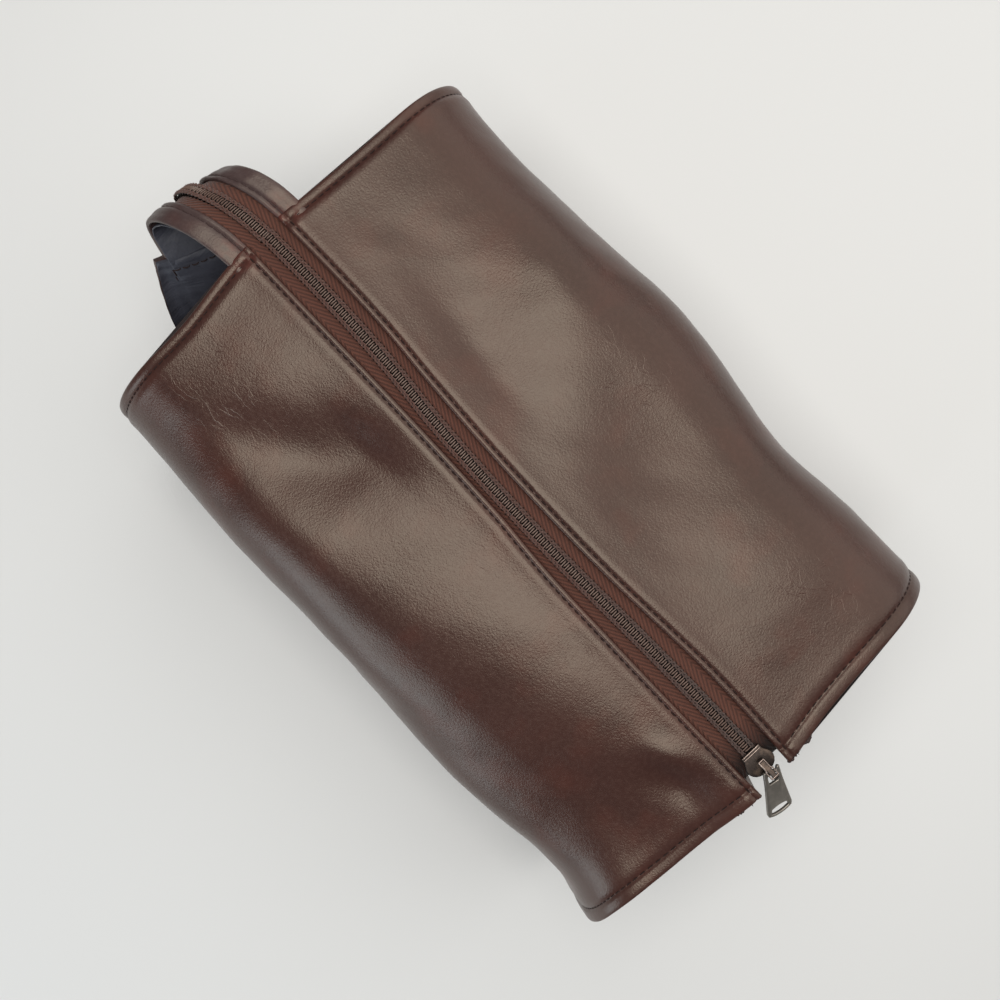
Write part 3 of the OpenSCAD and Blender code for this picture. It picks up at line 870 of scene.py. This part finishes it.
def add_turn(pile, path, lift, along):
    """One turn of the coil, its lower legs in a painted-shade material under the upper ones."""
    verts, faces = tube(path, TURN_RADIUS, closed=True)
    # Legs low on the turn get the painted-shade slot
    dark = np.minimum(TURN_UP, np.roll(TURN_UP, -1)) < 0.98
    mats = [2 if low else 0 for low in np.repeat(dark, 6)]
    pile.add(verts, faces, mats, np.stack([along(verts), np.repeat(TURN_UP + lift, 6)], -1))


def band(side, s, out, phase):
    """A row of thread at distances s along the coil: how far out and up it lies, and its radius."""
    wave = 2 * math.pi * (s / PITCH - TURN_SHIFT[side] + phase)
    up = 0.2 * np.cos(wave) - 0.3 * max(out - 1.9, 0)
    return side * (out + 0.13 * np.sin(wave)), up, 0.33 + 0.05 * np.cos(wave)


def coil(side):
    piles = {-1: Pile(), 1: Pile()}
    for i in range(int((COIL_LAST - COIL_FIRST) / PITCH)):
        x = COIL_FIRST + (i + TURN_SHIFT[side]) * PITCH
        path = np.stack([x + 0.05 * (TURN_OUT - 1), float(coil_y(x)) + side * TURN_OUT,
                         TAPE_TOP - 0.15 + TURN_UP], -1)
        add_turn(piles[-1 if x < 0 else 1], path, 0, lambda v: v[:, 0])
    for out, phase in BANDS:
        for half, a, b in ((-1, COIL_FIRST - 0.5, 0.0), (1, 0.0, COIL_LAST)):
            xs = np.arange(a, b + 0.01, PITCH / 4)
            y, up, radius = band(side, xs - COIL_FIRST, out, phase)
            verts, faces = tube(np.stack([xs, coil_y(xs) + y, TAPE_TOP + 1.72 + up], -1), radius)
            piles[half].add(verts, faces, 1)
    for half, pile in piles.items():
        flap_half(pile.object(half_name(side, "coil", half), COIL_SLOTS), side, "coil_brown", "coil")


# ---- slider and pull


def move(x, y, z):
    return Matrix.Translation((x * MM, y * MM, z * MM))


def turn(degrees, axis):
    return Matrix.Rotation(math.radians(degrees), 4, axis)


def arc(cx, cy, r, a0, a1, n=8):
    a = np.radians(np.linspace(a0, a1, n))
    return [(cx + r * math.cos(t), cy + r * math.sin(t)) for t in a]


def mirrored(points):
    """An outline symmetric about y = 0, from the points of its upper half."""
    return points + [(x, -y) for x, y in reversed(points)]


def flat_shape(outlines, thickness, bevel, material, matrix):
    """A flat piece with rounded edges, holes included, from closed outlines in mm, put in its place."""
    curve = bpy.data.curves.new("outline", "CURVE")
    curve.dimensions = "2D"
    curve.fill_mode = "BOTH"
    curve.extrude = (thickness / 2 - bevel) * MM
    curve.bevel_depth = bevel * MM
    curve.bevel_resolution = 2
    curve.offset = -bevel * MM
    for outline in outlines:
        spline = curve.splines.new("POLY")
        spline.points.add(len(outline) - 1)
        for point, (x, y) in zip(spline.points, outline):
            point.co = (x * MM, y * MM, 0, 1)
        spline.use_cyclic_u = True
    holder = linked("outline", curve)
    bpy.context.view_layer.update()
    me = bpy.data.meshes.new_from_object(holder.evaluated_get(bpy.context.evaluated_depsgraph_get()))
    bpy.data.objects.remove(holder)
    bpy.data.curves.remove(curve)
    me.materials.clear()
    me.materials.append(material)
    me.transform(matrix)
    return me


def metal_piece(name, parts, node, body):
    """One piece from meshes of one material each."""
    bm = bmesh.new()
    mats = []
    for part in parts:
        if part.materials[0] not in mats:
            mats.append(part.materials[0])
        before = len(bm.faces)
        bm.from_mesh(part)
        bm.faces.ensure_lookup_table()
        for f in bm.faces[before:]:
            f.material_index = mats.index(part.materials[0])
        bpy.data.meshes.remove(part)
    bmesh.ops.remove_doubles(bm, verts=bm.verts, dist=1e-6)
    bmesh.ops.recalc_face_normals(bm, faces=bm.faces)
    me = bpy.data.meshes.new(name)
    bm.to_mesh(me)
    bm.free()
    for m in mats:
        me.materials.append(m)
    smooth_shading(me, 40)
    obj = linked(name, me)
    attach(obj, body)
    dress(obj, "gunmetal", node)


SLIDER_REAR, SLIDER_LENGTH, SLIDER_Y = 115.2, 9.3, -0.6
UPPER = TAPE_TOP + 2.2  # about the underside of the upper plate
LOWER = TAPE_TOP - 1.5  # top of the lower plate
PIVOT = (SLIDER_REAR + SLIDER_LENGTH + 0.6, 0.0, UPPER + 2.05)


def slider():
    parts = []

    def plate(outline, thickness, bevel, z):
        parts.append(flat_shape([outline], thickness, bevel, SLIDER_MAT, move(SLIDER_REAR, SLIDER_Y, z)))

    full = mirrored([(0.0, 4.0), (1.8, 4.1), (2.6, 4.45), (3.6, 5.1), (4.8, 5.6), (6.0, 5.6), (7.2, 5.1),
                     (8.2, 4.2), (8.9, 2.9), (SLIDER_LENGTH, 1.2)])
    plate(full, 1.15, 0.35, UPPER + 0.5)
    plate(full, 1.0, 0.3, LOWER - 0.5)
    # The side walls fold down from the top plate and up from the lower one, leaving a slot for the tape
    for way in (-1, 1):
        rail = [(0.2, 3.35), (0.2, 3.95), (1.9, 4.0), (3.6, 5.0), (4.8, 5.45), (6.2, 5.45), (6.2, 4.8),
                (4.8, 4.7), (3.6, 4.2), (1.9, 3.4)]
        plate([(x, way * y) for x, y in rail[::-way]], 1.3, 0.15, UPPER - 0.45)
    plate(arc(6.9, 0, 1.3, 0, 340, 14), UPPER - LOWER + 0.4, 0.1, (UPPER + LOWER) / 2)
    # Worn bright lip across the mouth
    for x, r in ((0.35, 0.3), (1.25, 0.26)):
        verts, faces = tube([(x, -3.7, 0), (x, -3.4, 0.12), (x, 0, 0.16), (x, 3.4, 0.12), (x, 3.7, 0)], r, 8)
        lip = bpy.data.meshes.new("lip")
        lip.from_pydata((verts * MM).tolist(), [], faces)
        lip.materials.append(BRASS_MAT)
        lip.transform(move(SLIDER_REAR, SLIDER_Y, UPPER + 1.05))
        parts.append(lip)
    metal_piece("slider_shell", parts, "slider_body", "slider")

    # Bridge: an arch seen from the side, cut through for the pull, and a worn brow round its top
    outer = [(-6, -1.05), (-6, 0.9)] + arc(-4.9, 0.95, 1.15, 170, 95, 5)
    outer += [(1.5, 2.1)] + arc(1.6, 1.3, 0.9, 80, 0, 5)
    outer += [(2.5, -1.4), (2.2, -1.95), (1.6, -2.05), (-0.5, -2.05), (-0.5, -1.05)]
    window = [(-4.5, -1.05), (-4.5, 0.7), (-4.2, 1.1), (1.1, 1.1), (1.4, 0.8), (1.4, -0.8), (1.1, -1.1),
              (-1.2, -1.1)]
    arch = flat_shape([outer[::-1], window], 2.0, 0.28, SLIDER_MAT, move(*PIVOT) @ turn(90, "X"))
    brow = flat_shape([mirrored([(-6.2, 1.25), (-2.6, 1.25), (-1.8, 1.75), (1.5, 1.75)]),
                       mirrored([(-5.7, 0.75), (-2.4, 0.75), (-1.6, 1.25), (1.0, 1.25)])],
                      0.6, 0.2, BRASS_MAT, move(PIVOT[0], 0, PIVOT[2] + 2.1))
    metal_piece("slider_arch", [arch, brow], "slider_bridge", "slider")


PULL_LENGTH, PULL_YAW, PULL_DROOP, PULL_ROLL = 20.6, -24, 31, -17


def pull():
    end = PULL_LENGTH
    outer = ([(-0.5, -1.9), (-1.5, -2.3), (-1.7, -2.8), (-1.4, -3.3), (4.6, -3.7), (end - 2.6, -5.3)]
             + arc(end - 11, 0, 11, -27, 27, 15)
             + [(end - 2.6, 5.3), (4.6, 3.7), (-1.4, 3.3), (-1.7, 2.8), (-1.5, 2.3), (-0.5, 1.9)])
    slot = [(0.9, -2.0), (4.3, -2.0), (4.7, -1.6), (4.7, 1.6), (4.3, 2.0), (0.9, 2.0), (0.6, 1.7),
            (0.6, -1.7)]
    lens = arc(end - 12.0, 0, 10.9, -20, 20, 9)
    lens += [(end - 3.9, 3.2), (end - 4.3, 1.5), (end - 4.4, 0), (end - 4.3, -1.5), (end - 3.9, -3.2)]
    hang = move(*PIVOT) @ turn(PULL_YAW, "Z") @ turn(PULL_DROOP, "Y") @ turn(PULL_ROLL, "X")
    plate = flat_shape([outer, slot[::-1], lens[::-1]], 1.25, 0.4, PULL_MAT, hang)
    metal_piece("pull_plate", [plate], "pull_tab", "pull")


# ---- carrying loop

# Points along the loop's middle: x, z, y. A place on it is counted in these points from the first one.
LOOP = np.array([
    (-118, 113.4, 0.4), (-123, 113.6, 0.4), (-128, 114.2, 0.5), (-138.5, 115.4, -0.6),
    (-148.4, 115.0, -3.0), (-157.2, 111.4, -6.5), (-162.6, 104.5, -10), (-164.0, 96, -13.5),
    (-161.4, 87, -16.5), (-156.0, 76, -18.5), (-150, 64, -19.5), (-143, 52, -19), (-135.5, 41.5, -18),
    (-129, 32.5, -17), (-125.4, 24, -16), (-124.8, 14, -15.5),
], float)


def loop_at(k):
    """Point (x, y, z) at k listed points along the loop."""
    k = np.clip(np.asarray(k, float), 0, len(LOOP) - 1)
    i = np.minimum(k.astype(int), len(LOOP) - 2)
    t = (k - i)[..., None]
    a, b = LOOP[np.maximum(i - 1, 0)], LOOP[i]
    c, d = LOOP[i + 1], LOOP[np.minimum(i + 2, len(LOOP) - 1)]
    p = 0.5 * (2 * b + (c - a) * t + (2 * a - 5 * b + 4 * c - d) * t**2 + (3 * b - a - 3 * c + d) * t**3)
    return p[..., [0, 2, 1]]


def loop_point(k, across, out):
    """Point at k along the loop, that far across it and out from its middle."""
    k, across, out = np.broadcast_arrays(*(np.asarray(a, float) for a in (k, across, out)))
    d = loop_at(k + 0.05) - loop_at(k - 0.05)
    d[..., 1] = 0
    d /= np.linalg.norm(d, axis=-1, keepdims=True)
    n = np.stack([d[..., 2], 0 * d[..., 0], -d[..., 0]], -1)
    pos = loop_at(k) + n * out[..., None]
    pos[..., 1] += across
    # The loop is skewed, its back edge nearer the bag
    tail = smooth((k - 2) / 4) * (1 - smooth((k - 6.2) / 2.2)) * 0.32 * np.maximum(across, 0)
    share = np.clip((across + 20) / 40, 0, 1)
    low = smooth((k - 6.2) / 2.2) * (1 - smooth((k - 9.5) / 4)) * (7.5 + 13.5 * (1 - (1 - share) ** 2))
    pos[..., 0] += tail + low
    return pos


LOOP_K = np.linspace(0, 15, 301)
LOOP_ARC = np.concatenate([[0], np.cumsum(np.linalg.norm(np.diff(loop_at(LOOP_K), axis=0), axis=1))])


def loop_arc(k):
    """Distance along the loop at k."""
    return float(np.interp(k, LOOP_K, LOOP_ARC))


def loop_k(s):
    """k at a distance along the loop."""
    return np.interp(s, LOOP_ARC, LOOP_K)


def loop_band(name, k0, k1, profile, material, slot, node, steps, wobble=0.0, seed=1, uv_shift=0, uv_way=1):
    """A band along the loop. profile holds (across, out) round its cross section."""
    across, flat_out = np.array(profile, float).T
    run = np.concatenate([[0], np.cumsum(np.hypot(np.diff(across), np.diff(flat_out)))])
    rings, uvs = [], []
    for k in np.linspace(k0, k1, steps):
        s = loop_arc(k)
        out = flat_out + wobble * (ripple(s, across, seed, 15) + 0.4 * ripple(s, across * 0.4, seed + 3, 6))
        rings.append(loop_point(k, across, out))
        uvs.append(at(uv_way * s + uv_shift, run))
    on_shell(lofted(name, rings, uvs, [material]), slot, node)


def band_profile(a, b, low, high, r, samples):
    """(across, out) round a band: along its top from a to b, round the edge and back underneath."""
    top = [(x, high) for x in np.linspace(a + r, b - r, samples)]
    if r * 2 >= high - low - 1e-6:
        right = arc(b - r, (high + low) / 2, r, 80, -80, 5)
    else:
        right = arc(b - r, high - r, r, 80, 0, 4) + arc(b - r, low + r, r, 0, -80, 4)
    bottom = [(x, low) for x in np.linspace(b - r, a + r, samples)]
    return top + right + bottom + [(a + b - x, low + high - y) for x, y in right]


def flank_profile(side):
    """A leather flank of the loop: rolled at both edges, with a groove along its stitches."""
    base, inner, outer = 0.45, 7.1, 16.7
    xs = np.linspace(inner + 1.0, outer - 1.0, 16)
    lip = through([(0, -0.3), (1.0, 0), (2.0, 0.1), (2.8, 0)], outer - xs)
    top = list(zip(xs, base + 1.7 + through(RIM_ZIP, xs - inner) * 0.9 + lip))
    right = arc(outer - 0.95, base + 0.75, 0.95, 80, -80, 6)
    bottom = [(x, base - 0.2) for x in np.linspace(outer - 1.0, inner + 1.0, 8)]
    left = arc(inner + 0.95, base + 0.75, 0.95, 260, 100, 6)
    return [(side * x, y) for x, y in top + right + bottom + left]


def loop_stitch(pile, k, across, out, along, **look):
    """A stitch along or across the loop, on its outer side, or its inner side where out is below 0."""

    def where(t):
        place = (k + t * STITCH / 8.0, across) if along else (k, across + t * STITCH)
        pos = loop_point(*place, out)
        return pos, loop_point(*place, out + np.sign(out)) - pos

    stitch(pile, where, **look)


def loop():
    tail, start, end = 1.0, 2.0, 9.0  # where the leather begins, and the zip, and where both end
    first, last = loop_arc(start), loop_arc(end)
    for side, name in SIDE_NAME.items():
        loop_band(f"tail_{name}_flank", tail + (0.12 if side == BACK else 0.0), end, flank_profile(side),
                  LOOP_LEATHER, "leather_brown", f"tail_{name}_edging", 150, 0.22, 40 + side,
                  900 + 200 * side)
        xs = np.array([0.15, 0.3, 2.0, 4.0, 6.0, 8.0, 9.8, 10.0])
        z = 0.32 - 0.3 * np.sin(math.pi * np.clip(xs / 9, 0, 1))
        weave = list(zip(side * xs, z)) + list(zip(side * xs, z - 0.5))[::-1]
        loop_band(f"tail_{name}_weave", start, end, weave, TAPE_MAT, "tape_brown", f"tail_{name}_tape", 90,
                  uv_shift=-401.3, uv_way=-1)
        pile = Pile()
        for i in range(1, int((last - first) / STITCH) - 1):
            loop_stitch(pile, loop_k(first + i * STITCH), side * 9.5, 1.78, True, rise=0.1, radius=0.2)
        on_shell(pile.object(f"tail_{name}_thread", [TAIL_THREAD]), "thread_brown")

    # The closed coil of the tail
    pile = Pile()
    for side in (FRONT, BACK):
        for i in range(int((last - first) / PITCH) - 1):
            s = first + (i + TURN_SHIFT[side]) * PITCH
            path = loop_point(loop_k(s), side * TURN_OUT, TURN_UP + 0.1)
            add_turn(pile, path, 0.1, lambda v: v[:, 1] * 3 + s)
        for out, phase in BANDS:
            s = np.arange(first, last - 1, PITCH / 4)
            across, up, radius = band(side, s - first, out, phase)
            verts, faces = tube(loop_point(loop_k(s), across, 2.0 + up), radius)
            pile.add(verts, faces, 1)
    on_shell(pile.object("tail_chain", COIL_SLOTS), "coil_brown", "tail_coil")

    loop_band("tail_underside", tail + 0.2, end, band_profile(-16.3, 16.3, -1.55, -0.9, 0.3, 26), LINING_MAT,
              "lining_black", "tail_lining", 150, 0.45, 61)
    loop_band("tail_stop_bar", end - 0.25, end - 0.05, band_profile(-3.2, 3.2, 0.3, 2.1, 0.5, 4), SLIDER_MAT,
              "gunmetal", "tail_stop", 4)


# ---- sleeve

MOUTH, FOOT = 7.66, 15.0  # places along the loop
MOUTH_HALF, FOOT_HALF = 20.0, 33.0  # half the width there
# Relief of the hem at the mouth and of the sewn edges: distance from the edge, height
HEM = [(0, 0.25), (1.2, 0.35), (2.6, -0.12), (3.6, 0.12), (6, 0)]
SLEEVE_EDGE = [(0, -0.1), (1.2, 0.12), (3.2, 0.1), (4.0, -0.22), (5.0, 0.08), (8, 0)]


def sleeve_half(k):
    return MOUTH_HALF + (FOOT_HALF - MOUTH_HALF) * (k - MOUTH) / (FOOT - MOUTH)


def sleeve_layer(name, node, way, materials, slot, seed):
    """The leather outside, way 1, or the cloth inside, way -1."""
    mouth = loop_arc(MOUTH)
    rings, uvs = [], []
    for k in np.linspace(MOUTH, FOOT, 130):
        share, half, s = (k - MOUTH) / (FOOT - MOUTH), sleeve_half(k), loop_arc(k)
        across = np.linspace(-half, half, 40)
        # The two layers come together at their sewn edges and at the foot
        close = smooth((np.abs(across) - (half - 7)) / 5.5)
        if way > 0:
            face = (2.9 - 2.5 * share) * (1 - close) + (0.55 - 0.1 * share) * close
            far = face + 1.35
        else:
            face = -(1.35 - 0.5 * share) * (1 - close) - 0.05 * close
            far = face - 0.75
        wave = 0.55 * ripple(s, across, seed, 19) + 0.2 * ripple(s, across, seed + 1, 7)
        wave *= 1 - 0.75 * smooth((share - 0.72) / 0.2)
        across = across - 11.0 * share * (2 - share) * (1 - across / half) / 2
        far = far + way * (through(HEM, s - mouth) + through(SLEEVE_EDGE, half - np.abs(across)))
        middle = (far + face) / 2 + wave
        ring = np.concatenate([np.stack([across, far + wave], -1), [(half + 0.35, middle[-1])],
                               np.stack([across, face + wave], -1)[::-1], [(-half - 0.35, middle[0])]])
        rings.append(loop_point(k, ring[:, 0], ring[:, 1]))
        uvs.append(at(s + 1500, ring[:, 0] + (300 if way < 0 else 0)))
    on_shell(lofted(name, rings, uvs, materials, [-1, -2]), slot, node)


def sleeve():
    sleeve_layer("sleeve_outer", "sleeve_leather", 1, [LOOP_LEATHER, CUT_EDGE], "leather_brown", 71)
    sleeve_layer("sleeve_inner", "sleeve_lining", -1, [LINING_MAT, LINING_MAT], "lining_black", 75)
    pile = Pile()
    first, last = loop_arc(MOUTH), loop_arc(FOOT)
    for i in range(1, int((last - first) * 0.66 / STITCH)):
        k = loop_k(first + i * STITCH + 1.5)
        for side in (1, -1):
            loop_stitch(pile, k, side * (sleeve_half(k) - 4.0), -0.95, True, rise=0.25)
    # Hem at the mouth, and the two rows at the foot
    for s, reach, out in ((first + 2.7, 15.5, -2.35), (last - 5, 24, 2.05), (last - 17, 24, 2.2)):
        for y in np.arange(-reach, reach + 0.1, STITCH):
            loop_stitch(pile, loop_k(s), y, out, False, rise=0.25)
    on_shell(pile.object("sleeve_thread", [THREAD_MAT]), "thread_brown", "sleeve_stitching")


# ---- linings and board

REACH = HALF - SEAM - LEATHER - 0.5  # the lining's ends, from the middle
DEPTH = 3.7  # the body lining, inside the leather's outer face


def lining_end(end):
    """An end wall of the lining: points and faces."""
    rows, cols = 18, 36
    yy, zz = np.meshgrid(np.linspace(8 - SIDE_Y, SIDE_Y - 8, cols), np.linspace(4.6, SHOULDER_Z - 2, rows))
    corner = np.clip((BASE + 4 - zz) / (BASE + 4), 0, 1) ** 2 * 8
    yy = np.sign(yy) * np.minimum(np.abs(yy), SIDE_Y - 8 - corner)
    bulge = 0.8 * (ripple(yy, zz, 97 + end, 40) + 1)
    x = end * (REACH - 0.9 - bulge) + end_plane(end * REACH + 0 * yy, yy, zz)
    face = np.stack([x, yy, zz], -1).reshape(-1, 3)
    n = len(face)
    faces = grid_faces(rows, cols)
    faces += [tuple(n + i for i in reversed(f)) for f in faces]
    grid = np.arange(n).reshape(rows, cols)
    rim = [*grid[0], *grid[1:, -1], *grid[-1, -2::-1], *grid[-2:0:-1, 0]]
    faces += [(a, n + a, n + b, b) for a, b in zip(rim, rim[1:] + rim[:1])]
    return np.concatenate([face, face + np.array([end * LINING, 0, 0])]), faces


def body_lining():
    def depth(side, x, p, inside):
        loose = 0.9 * (ripple(0 * p + x, p, 90 + side, 34) + 1) * smooth((P4 - p) / 30)
        return DEPTH + inside * LINING + loose

    arcs = wall_arc(27, 9, 14, P2 - 9)
    rings, uvs = wall_sheet(np.linspace(-REACH, REACH, 90), arcs, arcs, depth, {BACK: 540, FRONT: 540})
    pile = Pile()
    pile.add(*loft(rings), 0, np.concatenate(uvs))
    for end in (-1, 1):
        verts, faces = lining_end(end)
        pile.add(verts, faces, 0, np.stack([verts[:, 1] + 500, verts[:, 2]], -1))
    on_shell(pile.object("body_lining_cloth", [LINING_MAT]), "lining_black", "body_lining")


def flap_lining(side):
    for half in (-1, 1):
        rings, uvs = [], []
        for x in np.linspace(1 - REACH, 0, 46) if half < 0 else np.linspace(0, REACH - 1, 46):
            start = float(edge_start(side, x)) + 10.5
            p = np.linspace(P2, start, 34)
            loose = 0.7 * (ripple(0 * p + x, p, 80 + side, 30) + 1)
            loose *= np.sin(math.pi * np.clip((p - start) / (P2 - start), 0, 1))
            top, low = skin(side, x, p, 1.6 + loose), skin(side, x, p, 1.6 + LINING + loose)
            rings.append(np.concatenate([top, low[::-1]]))
            uvs.append(at(x, np.concatenate([p, p[::-1] + 400]) * side))
        obj = lofted(half_name(side, "flap_cloth", half), rings, uvs, [LINING_MAT])
        flap_half(obj, side, "lining_black", "flap_lining")


# ---- frayed corners

# Lumps pulled out of the cut beside the zip: distance from the zip edge, thickness
LUMPS = {
    BACK: [(0.5, 0.55), (1.5, 0.7), (2.4, 0.5), (3.4, 0.6), (4.6, 0.45), (8.4, 0.5), (9.2, 0.75),
           (10.1, 0.95), (11.0, 0.8), (12.0, 0.55), (13.6, 0.4)],
    FRONT: [(0.6, 0.45), (1.6, 0.4), (8.6, 0.5), (9.6, 0.6), (10.7, 0.45)],
}


def frays():
    """Lumps of leather pulled out of the cut beside the zip, and short curled ends of thread."""
    pile = Pile()
    thick = np.array([0.35, 0.8, 1.0, 0.95, 0.85, 0.7, 0.3])
    t = np.linspace(-0.5, 0.5, 7)[:, None]
    for side, spots in LUMPS.items():
        edge = float(edge_start(side, HALF))
        for off, size in spots:
            for depth in (0.5, 1.4):
                base = skin(side, HALF - 0.5 + 0.85 * size, edge + off, depth + rng.uniform(-0.2, 0.2))
                way = np.array([rng.normal(0.1, 0.3), 1.0, rng.normal(0, 0.5)])
                way /= np.linalg.norm(way)
                bend = np.array([-rng.uniform(0.2, 1.2), rng.normal(0, 0.3), rng.normal(0, 0.6)])
                path = base + way * size * 2.4 * t + bend * t**2
                verts, faces = tube(path, thick * size * rng.uniform(0.75, 1.05), 7)
                pile.add(verts, faces, 1)
        for _ in spots:
            base = skin(side, HALF - 0.3, edge + 0.3 + abs(rng.normal(0, 6)), rng.uniform(0.3, 1.6))
            way = np.array([0.8, rng.normal(0, 1.0), rng.normal(-0.2, 0.5)])
            way /= np.linalg.norm(way)
            path = base + way * rng.uniform(0.5, 1.2) * (t + 0.4) + rng.normal(0, 0.9, 3) * t**2
            pile.add(*tube(path, np.linspace(0.26, 0.1, 7), 5))
    on_shell(pile.object("corner_frays", [THREAD_MAT, CUT_EDGE]), "thread_brown")


# ---- stage


def area(name, size, size_y, power, pos, aim, colour):
    data = bpy.data.lights.new(name, "AREA")
    data.shape = "RECTANGLE"
    data.size = size
    data.size_y = size_y
    data.energy = power
    data.color = colour
    light = linked(name, data)
    light.location = pos
    light.rotation_euler = (Vector(aim) - Vector(pos)).to_track_quat("-Z", "Y").to_euler()


def stage():
    n = Nodes("floor")
    cloud = n.noise(n.place(), 2.2, 3, 0.5)
    n.set(Base_Color=n.mix(cloud, (0.655, 0.655, 0.64), (0.69, 0.69, 0.675)), Roughness=0.6,
          Specular_IOR_Level=0.3)
    me = bpy.data.meshes.new("floor")
    s = 4.0  # half the floor's side, in metres
    me.from_pydata([(-s, -s, 0), (s, -s, 0), (s, s, 0), (-s, s, 0)], [], [(0, 1, 2, 3)])
    me.materials.append(n.mat)
    linked("floor", me)

    area("ceiling", 0.87, 0.76, 9.6, (-0.065, -0.05, 1.1), (-0.065, -0.05, 0), (1.0, 0.975, 0.94))
    area("window", 1.7, 1.16, 7.2, (0, 0.665, 0.625), (0, -0.035, 0.11), (1.0, 0.99, 0.98))
    area("low_side", 0.6, 0.5, 3.0, (0.02, -0.95, 0.28), (0.01, 0, 0.10), (0.76, 0.88, 1.0))
    world = bpy.data.worlds.new("room")
    world.use_nodes = True
    background = world.node_tree.nodes["Background"]
    background.inputs[0].default_value = (0.93, 0.96, 1.0, 1)
    background.inputs[1].default_value = 0.16
    bpy.context.scene.world = world
    bpy.context.scene.view_settings.view_transform = "Standard"


# ---- build

for side in (FRONT, BACK):
    flap_leather(side)
    zip_tape(side)
    coil(side)
    zip_rows(side)
wrap_leather()
wall_pile = Pile()
for side in (FRONT, BACK):
    end_rows(side, wall_pile)
on_shell(wall_pile.object("wall_thread", [THREAD_MAT]), "thread_brown", "side_seam_stitching")
for end in (-1, 1):
    end_panel(end)
slider()
pull()
loop()
sleeve()
body_lining()
for side in (FRONT, BACK):
    flap_lining(side)
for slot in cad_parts["base_board"].material_slots:
    slot.material = BOARD_MAT
frays()
stage()
